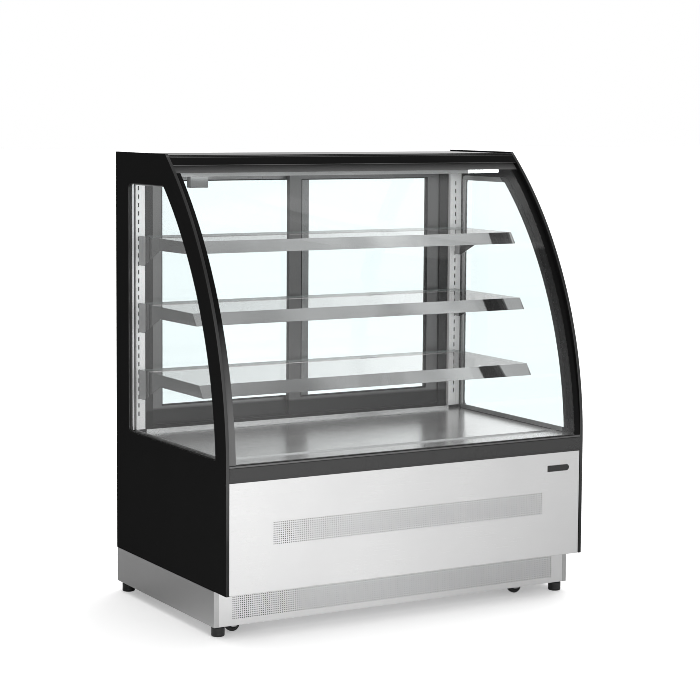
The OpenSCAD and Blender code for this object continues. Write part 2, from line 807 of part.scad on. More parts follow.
base_tray();
plinth_front();
plinth_sides();
plinth_rear();
foot_front_left();
foot_front_right();
foot_rear_left();
foot_rear_right();
caster_plates();
caster_fork_front_left();
caster_fork_front_right();
caster_fork_rear_left();
caster_fork_rear_right();
caster_wheel_front_left();
caster_wheel_front_right();
caster_wheel_rear_left();
caster_wheel_rear_right();
end_panel_left();
end_panel_right();
side_glass_left();
side_glass_right();
window_trims();
lower_front_panel();
fascia_strip();
badge_plate();
front_glass();
glass_channel();
header_bar();
top_sheet();
ceiling_panel();
led_tube();
led_clips();
sensor_cover();
rear_frame();
rear_service_panel();
door_left_frame();
door_left_glass();
door_right_frame();
door_right_glass();
well_liner();
deck_plate();
shelf_uprights();
shelf_frame_top();
shelf_glass_top();
shelf_frame_middle();
shelf_glass_middle();
shelf_frame_bottom();
shelf_glass_bottom();
compressor();
condenser();
condenser_fan();
evaporator();
evaporator_fan();
fan_motors();
control_unit();
button_set();
button_up();
button_down();
light_switch();
power_inlet();
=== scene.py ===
# A refrigerated display cabinet with a curved glass front, shelves, rear doors and a wheeled base.
# The working frame is in millimetres: x runs along the width with +x on the right seen from the
# front, y = 0 is the face of the fascia and y grows towards the back, z is height above the floor.
# Materials, lights and the camera work in metres.
import math

import bmesh
import bpy
from mathutils import Matrix, Vector


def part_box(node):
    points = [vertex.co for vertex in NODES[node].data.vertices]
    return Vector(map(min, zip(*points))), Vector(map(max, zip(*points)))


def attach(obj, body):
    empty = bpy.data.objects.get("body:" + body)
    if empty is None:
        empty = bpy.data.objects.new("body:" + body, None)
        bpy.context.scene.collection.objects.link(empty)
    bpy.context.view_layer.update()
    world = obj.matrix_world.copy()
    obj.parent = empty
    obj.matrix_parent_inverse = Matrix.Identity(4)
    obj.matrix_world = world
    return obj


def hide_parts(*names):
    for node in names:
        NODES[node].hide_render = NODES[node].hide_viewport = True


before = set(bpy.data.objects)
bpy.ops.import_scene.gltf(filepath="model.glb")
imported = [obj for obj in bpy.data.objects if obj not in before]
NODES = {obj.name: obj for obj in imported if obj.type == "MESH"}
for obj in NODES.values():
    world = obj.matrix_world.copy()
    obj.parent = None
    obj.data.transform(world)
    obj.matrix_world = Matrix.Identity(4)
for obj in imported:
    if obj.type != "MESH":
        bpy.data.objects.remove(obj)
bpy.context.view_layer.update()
scene = bpy.context.scene


# ------------------------------------------------------------------ frame

FASCIA_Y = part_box("fascia_strip")[0].y      # metres


def point(x, y, z):
    return Vector((x / 1000, FASCIA_Y + y / 1000, z / 1000))


def box_of(node):
    """Low and high corners of a CAD node in the working frame."""
    return [[corner.x * 1000, (corner.y - FASCIA_Y) * 1000, corner.z * 1000]
            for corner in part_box(node)]


# INNER and OUTER are half widths, between and over the end panels
(INNER, _, PLINTH_TOP), (OUTER, BACK, PANEL_TOP) = box_of("end_panel_right")
FASCIA_BOTTOM = box_of("lower_front_panel")[1][2]
PLINTH_Y, PLINTH_BOTTOM = box_of("plinth_front")[0][1:]

# arcs in the side view: centre y, centre z, radius
PANEL_ARC = (1150.0, 470.0, 1150.0)
WINDOW_ARC = (1175.4, 443.5, 1111.3)
GLASS_OUTER_ARC = (1195.3, 432.7, 1195.0)
GLASS_INNER_ARC = (1195.3, 432.7, 1189.0)
PRINT_WIDTH = 21.0          # dark printed band down each side of the front glass
PRINT_BOTTOM = 1.2765       # lower edge of the band along its top, metres

SIDES = ((-1, "left"), (1, "right"))
X, Y, Z = 0, 1, 2
WHITE = (1, 1, 1, 1)
PANE_CAST = (0.87, 0.95, 0.955, 1)      # cool tint of the surroundings seen through glass


# ------------------------------------------------------------------ shader graphs

class Graph:
    """A shader node tree, with short calls for the nodes used here."""
    padding = ()        # fills the Math inputs that are not given

    def __init__(self, tree):
        self.tree = tree
        tree.nodes.clear()

    def put(self, node, key, value):
        socket = node.inputs[key]
        if isinstance(value, bpy.types.Node):
            value = value.outputs[0]
        if isinstance(value, bpy.types.NodeSocket):
            self.tree.links.new(value, socket)
        else:
            socket.default_value = value

    def node(self, kind, inputs=None, **settings):
        node = self.tree.nodes.new("ShaderNode" + kind)
        for key, value in settings.items():
            setattr(node, key, value)
        for key, value in (inputs or {}).items():
            self.put(node, key, value)
        return node

    def split(self, vector):
        return self.node("SeparateXYZ", {0: vector}).outputs

    def math(self, operation, *values, clamp=False):
        values += self.padding[len(values):]
        return self.node("Math", dict(enumerate(values)), operation=operation, use_clamp=clamp)

    def add(self, a, b):
        return self.math("ADD", a, b)

    def sub(self, a, b, clamp=False):
        return self.math("SUBTRACT", a, b, clamp=clamp)

    def mul(self, first, *factors, clamp=False):
        for factor in factors:
            first = self.math("MULTIPLY", first, factor, clamp=clamp)
        return first

    def remap(self, value, start, end, low, high, curve="LINEAR"):
        """Carries the range start..end onto low..high."""
        return self.node("MapRange", {"Value": value, "From Min": start, "From Max": end,
                                      "To Min": low, "To Max": high}, interpolation_type=curve)

    def smooth(self, value, start, end, low, high):
        return self.remap(value, start, end, low, high, "SMOOTHSTEP")

    def mix(self, factor, a, b, mode="MIX"):
        """Colour mix."""
        node = self.node("Mix", {0: factor, 6: a, 7: b}, data_type="RGBA", blend_type=mode)
        return node.outputs[2]

    def blend(self, factor, a, b):
        """Number mix."""
        return self.node("Mix", {0: factor, 2: a, 3: b}, data_type="FLOAT")

    def pane_cast(self, path):
        """Tint for camera rays that have passed through a pane."""
        through = self.mul(path["Is Camera Ray"],
                           self.math("GREATER_THAN", path["Transparent Depth"], 0.5))
        return self.mix(through, WHITE, PANE_CAST)


MATERIALS = {}


class Material(Graph):
    padding = (0.0, 0.0, 0.0)

    def __init__(self, name):
        self.name = name
        self.material = bpy.data.materials.new(name)
        self.material.use_nodes = True
        super().__init__(self.material.node_tree)
        self.output = self.node("OutputMaterial")
        self.place = self.node("TexCoord").outputs["Object"]

    def noise(self, scale=1.0, detail=2.0, rough=0.5, warp=0.0, stretch=None):
        """Noise in object space; stretch scales the space on each axis first."""
        vector = self.place
        if stretch:
            vector = self.node("Mapping", {"Vector": vector, "Scale": stretch})
        return self.node("TexNoise", {"Vector": vector, "Scale": scale, "Detail": detail,
                                      "Roughness": rough, "Distortion": warp})

    def vary(self, noise, low, high):
        """Carries the band where most noise lies onto low..high."""
        return self.remap(noise, 0.3, 0.7, low, high)

    def geometry(self, name):
        return self.node("NewGeometry").outputs[name]

    def sideways(self):
        """1 on faces that look along x, 0 on faces across it."""
        return self.math("ABSOLUTE", self.split(self.geometry("Normal"))[0])

    def grey(self, value, blue=None):
        """Grey colour; blue scales its blue part."""
        last = value if blue is None else self.mul(value, blue)
        return self.node("CombineColor", {0: value, 1: value, 2: last})

    def shade(self, color, value):
        return self.mix(1.0, color, self.grey(value), "MULTIPLY")

    def bump(self, height, strength, distance=0.0002):
        return self.node("Bump", {"Height": height, "Strength": strength, "Distance": distance})

    def principled(self, **inputs):
        named = {key.replace("_", " "): value for key, value in inputs.items()}
        return self.node("BsdfPrincipled", named)

    def glossy(self, rough, normal):
        return self.node("BsdfGlossy", {"Color": WHITE, "Roughness": rough, "Normal": normal})

    def mix_shader(self, factor, a, b):
        return self.node("MixShader", {0: factor, 1: a, 2: b})

    def edge_mask(self):
        """1 along edges, found where a bevelled normal leaves the true one."""
        rounded = self.node("Bevel", {"Radius": 0.0012}, samples=4)
        dot = self.node("VectorMath", {0: rounded, 1: self.geometry("Normal")},
                        operation="DOT_PRODUCT")
        return self.remap(dot.outputs["Value"], 0.995, 0.9, 0.0, 1.0)

    def finish(self, surface):
        self.put(self.output, "Surface", surface)
        MATERIALS[self.name] = self.material


# ------------------------------------------------------------------ kinds of material

def steel(name, grain, base, rough, aniso=0.55, vary=0.05, relief=0.12, fine=1500.0, metal=1.0,
          rough_vary=0.07, low=None, side=None, glow=None):
    """Brushed sheet: long streaks along axis grain, soft marks, a little brightness drift.
    low: (height, factor) darkens what is below; side: factor on faces that look sideways, a painted
    shade;
    glow: strength of a painted emission standing in for bounced lamp light, at the left and at the
    right."""
    mat = Material(name)

    def streaks(across, along, detail, rough):
        stretch = [across] * 3
        stretch[grain] = along
        return mat.noise(detail=detail, rough=rough, stretch=stretch)

    brushing = mat.add(mat.mul(streaks(fine, along=6.0, detail=3.0, rough=0.6), 0.8),
                       mat.mul(streaks(fine / 6, along=2.0, detail=2.0, rough=0.5), 0.2))
    cloud = mat.noise(scale=5.0, detail=4.0, rough=0.6, warp=0.4)
    roughness = mat.add(mat.vary(brushing, rough - rough_vary, rough + rough_vary),
                        mat.remap(cloud, 0.35, 0.7, -0.3 * rough_vary, 0.6 * rough_vary))
    value = mat.mul(mat.vary(brushing, 1 - vary, 1 + vary), mat.vary(cloud, 1.015, 0.985))
    if low:
        height, factor = low
        fade = 0.004        # half the height of the change, metres
        value = mat.mul(value, mat.remap(mat.split(mat.place)[2], height - fade, height + fade,
                                         factor, 1.0))
    # painted shade: faces that look sideways are darkened by the side factor
    if side:
        value = mat.mul(value, mat.remap(mat.sideways(), 0.6, 0.85, 1.0, side))
    along_grain = [0.0, 0.0, 0.0]
    along_grain[grain] = 1.0
    tangent = mat.node("VectorMath", {0: mat.geometry("Normal"), 1: along_grain},
                       operation="CROSS_PRODUCT")
    surface = mat.principled(Base_Color=mat.shade((base, base, base, 1), value), Metallic=metal,
                             Roughness=roughness, Anisotropic=aniso,
                             Normal=mat.bump(brushing, relief, 0.0003), Tangent=tangent)
    # painted light: an emission standing in for bounced lamp light, stronger at the left and higher
    # up
    if glow:
        x, _, z = mat.split(mat.place)
        strength = mat.mul(mat.remap(x, -0.3, 0.3, glow[0], glow[1]),
                           mat.remap(z, 0.5, 1.25, 0.75, 1.15))
        mat.put(surface, "Emission Color", WHITE)
        mat.put(surface, "Emission Strength", mat.mul(strength, value))
    mat.finish(surface)


def coated(name, base, rough, peel, wear=0.0, spec=0.5, coat=0.0, fine=1400.0, tint=(1, 1, 1),
           sheen=0.0, band=None):
    """Powder coat or moulded skin: orange peel of the given depth, cloudy sheen, rubbed edges.
    sheen: share of plain gloss; band: grey of the edge banding on faces not looking sideways."""
    mat = Material(name)
    skin = mat.noise(scale=fine, detail=3.0, rough=0.55)
    cloud = mat.noise(scale=4.0, detail=4.0, rough=0.6, warp=0.6)
    color = mat.shade(tuple(base * part for part in tint) + (1,), mat.vary(cloud, 0.93, 1.08))
    roughness = mat.add(mat.vary(cloud, rough - 0.03, rough + 0.05),
                        mat.vary(skin, -0.03, 0.03))
    if wear:
        patches = mat.remap(mat.noise(scale=60.0, detail=4.0, rough=0.65), 0.42, 0.62, 0.0, wear)
        worn = mat.mul(mat.edge_mask(), patches, clamp=True)
        bare = min(1, base * 4 + 0.06)
        color = mat.mix(worn, color, (bare, bare, bare, 1))
        roughness = mat.add(roughness, mat.mul(worn, 0.15))
    surface = mat.principled(Base_Color=color, Roughness=roughness, Specular_IOR_Level=spec,
                             Coat_Weight=coat, Coat_Roughness=0.12, Normal=mat.bump(skin, peel))
    if sheen:
        surface = mat.mix_shader(sheen, surface, mat.glossy(roughness, mat.bump(skin, peel)))
    if band:
        facing = mat.sideways()
        edging = mat.principled(Base_Color=mat.grey(mat.vary(cloud, band * 0.9, band * 1.1)),
                                Roughness=0.5, Specular_IOR_Level=0.0,
                                Normal=mat.bump(skin, peel))
        gloss = mat.glossy(mat.vary(skin, 0.27, 0.34), mat.bump(skin, peel))
        edging = mat.mix_shader(0.07, edging, gloss)
        surface = mat.mix_shader(mat.remap(facing, 0.45, 0.6, 1.0, 0.0), surface, edging)
    mat.finish(surface)


def print_band(mat, surface):
    """Lays a dense black print over the sides and top of the front glass, silvered along the
    top, with a painted reflection at the foot of the left side that fades upwards."""
    z = mat.split(mat.place)[2]
    top = mat.math("GREATER_THAN", z, PRINT_BOTTOM)
    left = mat.math("LESS_THAN", mat.split(mat.place)[0], 0.0)
    # painted reflection: the left band is lighter towards its foot, fading out upwards
    foot = mat.mul(left, mat.remap(z, 0.60, 0.88, 0.15, 0.0))
    speckle = mat.noise(scale=900.0)
    value = mat.mul(mat.add(mat.remap(top, 0.0, 1.0, 0.006, 0.10), foot),
                    mat.vary(speckle, 0.9, 1.1))
    ink = mat.principled(Base_Color=mat.grey(value), Roughness=mat.vary(speckle, 0.2, 0.23),
                         Specular_IOR_Level=mat.remap(top, 0.0, 1.0, 0.08, 0.5))
    x, _, z = mat.split(mat.place)
    sides = mat.math("GREATER_THAN", mat.math("ABSOLUTE", x), (INNER - PRINT_WIDTH) / 1000)
    mask = mat.math("MAXIMUM", sides, mat.math("GREATER_THAN", z, PRINT_BOTTOM))
    return mat.mix_shader(mask, surface, ink)


def glass(name, across=None, tint=(0.978, 0.986, 0.986), edge=(0.28, 0.50, 0.46), reflect=1.0,
          edge_alpha=0.75, printed=False):
    """Thin toughened pane. across: the axis of its normal, so that other faces are polished
    edges; with none given, the edges are the faces that look along x."""
    mat = Material(name)
    # faint roller-wave ripple; both faces' reflection is taken on the front face
    ripple = mat.bump(mat.noise(detail=1.0, rough=0.4, stretch=(3.0, 3.0, 9.0)),
                      strength=0.04, distance=0.002)
    geometry = mat.node("NewGeometry").outputs
    dot = mat.node("VectorMath", {0: ripple, 1: geometry["Incoming"]}, operation="DOT_PRODUCT")
    cosine = mat.math("ABSOLUTE", dot.outputs["Value"])
    fresnel = mat.add(mat.mul(mat.math("POWER", mat.sub(1.0, cosine, clamp=True), 5.0), 0.96),
                      0.04)
    share = mat.mul(mat.mul(fresnel, 1.8 * reflect, clamp=True),
                    mat.sub(1.0, geometry["Backfacing"]))
    clear = mat.node("BsdfTransparent", {"Color": tint + (1,)})
    pane = mat.mix_shader(share, clear, mat.glossy(0.015, ripple))
    dust = mat.node("BsdfDiffuse", {"Color": (0.8, 0.82, 0.83, 1)})
    dust_share = mat.remap(mat.noise(scale=140.0, detail=4.0, rough=0.7), 0.5, 0.8, 0.004, 0.02)
    pane = mat.mix_shader(dust_share, pane, dust)

    normal = mat.split(mat.geometry("True Normal"))
    facing = mat.math("ABSOLUTE", normal[across or 0])
    at_edge = mat.remap(facing, 0.3, 0.8, *((0.0, 1.0) if across is None else (1.0, 0.0)))
    mottle = mat.remap(mat.noise(scale=300.0, detail=3.0, rough=0.6), 0.35, 0.65, 0.0, 1.0)
    bright = tuple(min(1.0, part * 1.35) for part in edge)
    edge_skin = mat.principled(Base_Color=mat.mix(mottle, edge + (1,), bright + (1,)),
                               Roughness=0.18, Coat_Weight=0.5)
    pale = tuple(0.5 + 0.5 * part for part in edge)
    edge_clear = mat.node("BsdfTransparent", {"Color": pale + (1,)})
    surface = mat.mix_shader(at_edge, pane, mat.mix_shader(edge_alpha, edge_clear, edge_skin))
    mat.finish(print_band(mat, surface) if printed else surface)


def spangle(name, base, rough, size):
    """Zinc with crystal spangles."""
    mat = Material(name)
    cells = mat.node("TexVoronoi", {"Vector": mat.place, "Scale": size}, feature="F1")
    crystal = mat.node("RGBToBW", {0: cells.outputs["Color"]})
    cloud = mat.noise(scale=12.0, detail=4.0, rough=0.6)
    value = mat.mul(mat.remap(crystal, 0, 1, base * 0.9, base * 1.1),
                    mat.vary(cloud, 0.94, 1.05))
    mat.finish(mat.principled(Base_Color=mat.grey(value, blue=1.02), Metallic=1.0,
                              Roughness=mat.remap(crystal, 0, 1, rough - 0.08, rough + 0.1),
                              Normal=mat.bump(crystal, strength=0.06)))


def rubber(name, base, rough):
    mat = Material(name)
    grain = mat.noise(scale=700.0, detail=4.0, rough=0.7)
    cloud = mat.noise(scale=30.0, detail=3.0, rough=0.6)
    value = mat.mul(mat.vary(grain, base * 0.85, base * 1.2), mat.vary(cloud, 0.9, 1.15))
    mat.finish(mat.principled(Base_Color=mat.grey(value), Specular_IOR_Level=0.35,
                              Roughness=mat.vary(cloud, rough - 0.1, rough + 0.05),
                              Normal=mat.bump(grain, strength=0.25, distance=0.0003)))


def lamp_diffuser():
    """Frosted diffuser with a string of diodes faintly showing."""
    diode_pitch = 0.0125
    mat = Material("lamp_diffuser")
    wave = mat.math("SINE", mat.mul(mat.split(mat.place)[0], 2 * math.pi / diode_pitch))
    frost = mat.noise(scale=900.0)
    mat.finish(mat.principled(Base_Color=(0.9, 0.92, 0.92, 1),
                              Roughness=mat.vary(frost, 0.35, 0.5),
                              Emission_Color=(0.96, 1.0, 1.0, 1),
                              Emission_Strength=mat.remap(wave, -1, 1, 4.2, 5.0),
                              Normal=mat.bump(frost, strength=0.05)))


def coil_fins():
    mat = Material("coil_fins")
    grain = mat.noise(detail=3.0, rough=0.6, stretch=(40, 900, 900))
    mat.finish(mat.principled(Base_Color=mat.grey(mat.vary(grain, 0.425, 0.55), blue=0.97),
                              Metallic=1.0, Roughness=mat.vary(grain, 0.3, 0.45),
                              Normal=mat.bump(grain, strength=0.1, distance=0.0003)))


def window_trim():
    """Aluminium that turns into a dark printed strip along the curved side of the window."""
    mat = Material("window_trim")
    centre_y, centre_z, radius = WINDOW_ARC
    _, y, z = mat.split(mat.place)
    from_y = mat.sub(mat.mul(mat.sub(y, FASCIA_Y), 1000.0), centre_y)
    from_z = mat.sub(mat.mul(z, 1000.0), centre_z)
    distance = mat.math("SQRT", mat.add(mat.math("POWER", from_y, 2.0),
                                        mat.math("POWER", from_z, 2.0)))
    strip = mat.remap(distance, radius - 14.0, radius - 12.0, 0.0, 1.0)
    grain = mat.noise(scale=900.0, detail=3.0, rough=0.55)
    value = mat.mul(mat.blend(strip, 0.42, 0.02), mat.vary(grain, 0.92, 1.08))
    mat.finish(mat.principled(Base_Color=mat.grey(value), Specular_IOR_Level=0.3,
                              Metallic=mat.remap(strip, 0.0, 1.0, 0.7, 0.0),
                              Roughness=mat.vary(grain, 0.3, 0.42),
                              Normal=mat.bump(grain, strength=0.08)))


# ------------------------------------------------------------------ the materials

def make_materials():
    steel("front_steel", X, base=0.81, rough=0.29, aniso=0.6, vary=0.008, relief=0.02,
          rough_vary=0.02, fine=2600.0)
    steel("plinth_steel", X, base=0.79, rough=0.30, aniso=0.6, vary=0.01, relief=0.025,
          rough_vary=0.02, fine=2600.0)
    # the plinth's brushed steel with a darker base, painted shade for the sides
    steel("plinth_side", Y, base=0.52, rough=0.34, aniso=0.5, vary=0.012, relief=0.03,
          rough_vary=0.03, fine=2600.0)
    steel("top_steel", X, base=0.38, rough=0.42, aniso=0.3, vary=0.03, relief=0.05)
    steel("deck_steel", X, base=0.80, rough=0.22, aniso=0.2, vary=0.015, rough_vary=0.02,
          metal=0.75, relief=0.012)
    # the rails' faces that look sideways are darkened, a painted shade
    steel("rail_steel", X, base=0.66, rough=0.045, aniso=0.2, vary=0.03, relief=0.03,
          rough_vary=0.015, side=0.45)
    steel("liner_steel", X, base=0.60, rough=0.32)
    # the uprights carry a painted emission of bounced lamp light
    steel("upright_steel", Z, base=0.95, rough=0.3, metal=0.15, vary=0.03, relief=0.06,
          glow=(0.36, 0.06))
    steel("ceiling_steel", X, base=0.22, rough=0.35)
    steel("lip_alloy", X, base=0.72, rough=0.25, vary=0.03)
    steel("channel_alloy", X, base=0.16, rough=0.3, vary=0.05)
    steel("alloy_x", X, base=0.55, rough=0.32, fine=900.0)
    rear_frames = dict(fine=900.0, vary=0.04, relief=0.02, rough_vary=0.03,
                       low=(0.552, 0.12))       # dark bottom rails
    # one alloy in two copies: the right door's darker one, and the left door's with a lighter base,
    # painted light for its brighter look
    steel("alloy_z", Z, base=0.17, rough=0.34, **rear_frames)
    steel("alloy_z_painted_lighter", Z, base=0.22, rough=0.3, **rear_frames)
    steel("frame_alloy", X, base=0.055, rough=0.36, **rear_frames)

    coated("panel_black", base=0.0085, rough=0.40, peel=0.08, wear=0.3, spec=0.0, sheen=0.012,
           band=0.010)
    coated("header_black", base=0.006, rough=0.34, peel=0.06, wear=0.25, spec=0.0, sheen=0.006)
    coated("fascia_dark", base=0.026, rough=0.28, peel=0.05, wear=0.3, spec=0.6)
    coated("badge_black", base=0.010, rough=0.14, peel=0.02, coat=0.25)
    coated("trim_grey", base=0.16, rough=0.45, peel=0.10)
    coated("trim_dark", base=0.024, rough=0.42, peel=0.10)
    coated("plastic_black", base=0.020, rough=0.48, peel=0.22, fine=900.0)
    coated("foot_black", base=0.013, rough=0.34, peel=0.10, wear=0.5)
    coated("key_grey", base=0.45, rough=0.42, peel=0.10)
    coated("rocker_red", base=0.35, rough=0.22, peel=0.04, coat=0.5, tint=(1.0, 0.09, 0.06))
    coated("sensor_grey", base=0.21, rough=0.5, peel=0.16)
    coated("motor_grey", base=0.10, rough=0.4, peel=0.15, wear=0.5)
    coated("compressor_enamel", base=0.012, rough=0.22, peel=0.12, wear=0.6, coat=0.4,
           fine=300.0)

    rubber("gasket_rubber", base=0.012, rough=0.7)
    rubber("window_seal_rubber", base=0.06, rough=0.55)
    # a black backing, painted shade: set just behind the perforations so that the holes read as dark
    rubber("shade_backing_black", base=0.010, rough=0.85)
    rubber("wheel_rubber", base=0.020, rough=0.6)
    spangle("zinc_plate", base=0.55, rough=0.32, size=500.0)
    spangle("galvanised_sheet", base=0.42, rough=0.4, size=70.0)
    coil_fins()
    lamp_diffuser()
    steel("badge_rim", X, base=0.5, rough=0.3)
    window_trim()

    glass("glass_front", printed=True)
    glass("glass_side", across=X, edge=(0.02, 0.02, 0.02), edge_alpha=1.0)
    glass("glass_door", tint=(0.972, 0.982, 0.982))
    glass("glass_shelf", across=Z, tint=(0.945, 0.925, 0.923), edge=(0.30, 0.36, 0.35),
          reflect=0.45)


# ------------------------------------------------------------------ objects

def new_object(name, mesh, material):
    obj = bpy.data.objects.new(name, mesh)
    scene.collection.objects.link(obj)
    mesh.materials.clear()
    mesh.materials.append(MATERIALS[material])
    return obj


def register(obj, body, replaces):
    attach(obj, body)
    if replaces:
        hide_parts(replaces)


def bevel_edges(obj, width, segments=2):
    bevel = obj.modifiers.new("bevel", "BEVEL")
    bevel.width = width / 1000
    bevel.segments = segments
    bevel.limit_method = "ANGLE"
    bevel.angle_limit = math.radians(35)
    bevel.use_clamp_overlap = True


def weld(obj):
    obj.modifiers.new("weld", "WELD").merge_threshold = 1e-5


def smooth_shading(obj):
    for polygon in obj.data.polygons:
        polygon.use_smooth = True
    obj.modifiers.new("normals", "WEIGHTED_NORMAL").keep_sharp = True


def add_mesh(name, verts, faces, material, slot, body="cabinet", smooth=False, replaces=None,
             bevel=0.0):
    mesh = bpy.data.meshes.new(name)
    mesh.from_pydata([tuple(point(*vert)) for vert in verts], [], faces)
    mesh.validate()
    mesh.update()
    obj = new_object(name, mesh, material)
    if bevel:
        bevel_edges(obj, bevel)
    if smooth or bevel:
        smooth_shading(obj)
    register(obj, body, replaces)
    return obj


def set_material(node, material):
    obj = NODES[node]
    obj.data.materials.clear()
    obj.data.materials.append(MATERIALS[material])
    return obj


def finish_cad(node, material, bevel, segments=2):
    """Keeps a CAD node, with a material and softened edges."""
    obj = set_material(node, material)
    weld(obj)
    if bevel:
        bevel_edges(obj, bevel, segments)
    smooth_shading(obj)


# ------------------------------------------------------------------ outlines and shapes

def arc_y(arc, z):
    """y of the front side of an arc at height z."""
    centre_y, centre_z, radius = arc
    return centre_y - math.sqrt(max(0.0, radius * radius - (z - centre_z) ** 2))


def steps(start, end, count):
    return [start + (end - start) * i / count for i in range(count + 1)]


def arc_points(centre_a, centre_b, radius, start, sweep, count=6):
    """count + 1 points of an arc in a plane; start and sweep in degrees."""
    angles = [math.radians(start + sweep * i / count) for i in range(count + 1)]
    return [(centre_a + radius * math.cos(angle), centre_b + radius * math.sin(angle))
            for angle in angles]


def signed_area(profile):
    """Twice the area, positive when the profile runs anticlockwise."""
    following = profile[1:] + profile[:1]
    return sum(p[0] * q[1] - q[0] * p[1] for p, q in zip(profile, following))


class Shape:
    """Collects solids into one mesh."""

    def __init__(self):
        self.verts, self.faces = [], []

    def part(self, verts, faces):
        start = len(self.verts)
        self.verts += [tuple(vert) for vert in verts]
        self.faces += [tuple(i + start for i in face) for face in faces]
        return self

    def box(self, low, high):
        x0, y0, z0 = low
        x1, y1, z1 = high
        verts = [(x, y, z) for z in (z0, z1) for x, y in ((x0, y0), (x1, y0), (x1, y1), (x0, y1))]
        return self.part(verts, [(3, 2, 1, 0), (4, 5, 6, 7), (0, 1, 5, 4), (1, 2, 6, 5),
                                 (2, 3, 7, 6), (3, 0, 4, 7)])

    def prism(self, profile, start, end, axis="x"):
        """Closed profile swept along an axis. x: (y, z); y: (x, z); z: (x, y)."""
        def place(a, b, along):
            return {"x": (along, a, b), "y": (a, along, b), "z": (a, b, along)}[axis]
        n = len(profile)
        verts = [place(a, b, along) for along in (start, end) for a, b in profile]
        faces = [(i, (i + 1) % n, n + (i + 1) % n, n + i) for i in range(n)]
        faces += [tuple(reversed(range(n))), tuple(range(n, 2 * n))]
        if (signed_area(profile) < 0) != (axis == "y"):
            faces = [tuple(reversed(face)) for face in faces]
        return self.part(verts, faces)

    def lathe(self, profile, centre, axis="z", segments=48):
        """Closed (radius, height) profile turned about an axis through centre. Points of
        radius 0 meet on the axis."""
        verts, rings = [], []
        for radius, height in profile:
            ring = []
            for k in range(segments):
                if radius < 1e-6 and k:
                    ring.append(ring[0])
                    continue
                angle = 2 * math.pi * k / segments
                a, b = radius * math.cos(angle), radius * math.sin(angle)
                offset = {"z": (a, b, height), "y": (b, height, a), "x": (height, a, b)}[axis]
                ring.append(len(verts))
                verts.append(tuple(c + o for c, o in zip(centre, offset)))
            rings.append(ring)
        closed = profile[0][0] > 1e-6 or profile[-1][0] > 1e-6
        faces = []
        for i in range(len(rings) if closed else len(rings) - 1):
            ring, following = rings[i], rings[(i + 1) % len(rings)]
            for k in range(segments):
                j = (k + 1) % segments
                corners = dict.fromkeys((ring[k], ring[j], following[j], following[k]))
                if len(corners) > 2:
                    faces.append(tuple(corners))
        if signed_area(profile) < 0:
            faces = [tuple(reversed(face)) for face in faces]
        return self.part(verts, faces)

    def make(self, name, material, slot, **options):
        return add_mesh(name, self.verts, self.faces, material, slot, **options)


def perforated(sheet, field, count, radius, depth):
    """Upright sheet with a field of round holes, as vertices and faces.
    sheet, field: (x0, x1, z0, z1); count: columns and rows; depth: y of the two faces."""
    x0, x1, z0, z1 = sheet
    left, right, bottom, top = field
    columns, rows = count
    near, far = depth
    pitch_x, pitch_z = (right - left) / columns, (top - bottom) / rows
    verts, faces, known = [], [], {}

    def vertex(x, y, z):
        key = (round(x, 3), round(y, 3), round(z, 3))
        if key not in known:
            known[key] = len(verts)
            verts.append((x, y, z))
        return known[key]

    for i in range(columns):
        for j in range(rows):
            centre_x, centre_z = left + (i + 0.5) * pitch_x, bottom + (j + 0.5) * pitch_z
            cell, hole = [], []
            for k in range(8):
                angle = math.pi / 4 * k
                dx, dz = math.cos(angle), math.sin(angle)
                reach = max(abs(dx), abs(dz))
                cell.append((centre_x + pitch_x / 2 * dx / reach,
                             centre_z + pitch_z / 2 * dz / reach))
                hole.append((centre_x + radius * dx, centre_z + radius * dz))
            cell_near, cell_far, hole_near, hole_far = [
                [vertex(x, y, z) for x, z in ring] for ring in (cell, hole) for y in depth]
            for k in range(8):
                m = (k + 1) % 8
                faces.append((cell_near[k], cell_near[m], hole_near[m], hole_near[k]))
                faces.append((cell_far[m], cell_far[k], hole_far[k], hole_far[m]))
                faces.append((hole_near[k], hole_near[m], hole_far[m], hole_far[k]))

    # plain margins round the field
    xs = [left + pitch_x / 2 * i for i in range(2 * columns + 1)]
    zs = [bottom + pitch_z / 2 * j for j in range(2 * rows + 1)]
    for y in depth:
        def rectangle(xa, xb, za, zb):
            face = [vertex(x, y, z) for x, z in ((xa, za), (xb, za), (xb, zb), (xa, zb))]
            faces.append(tuple(face if y == near else reversed(face)))
        for xa, xb in zip(xs, xs[1:]):
            rectangle(xa, xb, z0, bottom)
            rectangle(xa, xb, top, z1)
        for za, zb in zip(zs, zs[1:]):
            rectangle(x0, left, za, zb)
            rectangle(right, x1, za, zb)
        for xa, xb in ((x0, left), (right, x1)):
            rectangle(xa, xb, z0, bottom)
            rectangle(xa, xb, top, z1)

    # outer rim
    rim = [(x0, z0)] + [(x, z0) for x in xs] + [(x1, z0)] + [(x1, z) for z in zs]
    rim += [(x1, z1)] + [(x, z1) for x in reversed(xs)] + [(x0, z1)]
    rim += [(x0, z) for z in reversed(zs)]
    for (xa, za), (xb, zb) in zip(rim, rim[1:] + rim[:1]):
        faces.append((vertex(xb, near, zb), vertex(xa, near, za),
                      vertex(xa, far, za), vertex(xb, far, zb)))
    return verts, faces


# ------------------------------------------------------------------ end panels

def panel_outline():
    """(y, z) outline of an end panel, with its curved front."""
    heights = steps(PANEL_TOP, PANEL_ARC[1], 96)
    corners = [(0.0, PLINTH_TOP), (BACK, PLINTH_TOP), (BACK, PANEL_TOP)]
    return corners + [(arc_y(PANEL_ARC, z), z) for z in heights]


def window_outline(grow=0.0):
    """(y, z) outline of the window, grown outwards."""
    back, bottom, top, corner = 640 + grow, 499 - grow, 1240 + grow, 18 + grow
    centre_y, centre_z, radius = WINDOW_ARC
    arc = (centre_y, centre_z, radius + grow)
    return (arc_points(back - corner, bottom + corner, corner, -90, 90, 8)
            + arc_points(back - corner, top - corner, corner, 0, 90, 8)
            + [(arc_y(arc, z), z) for z in steps(top, bottom, 80)])


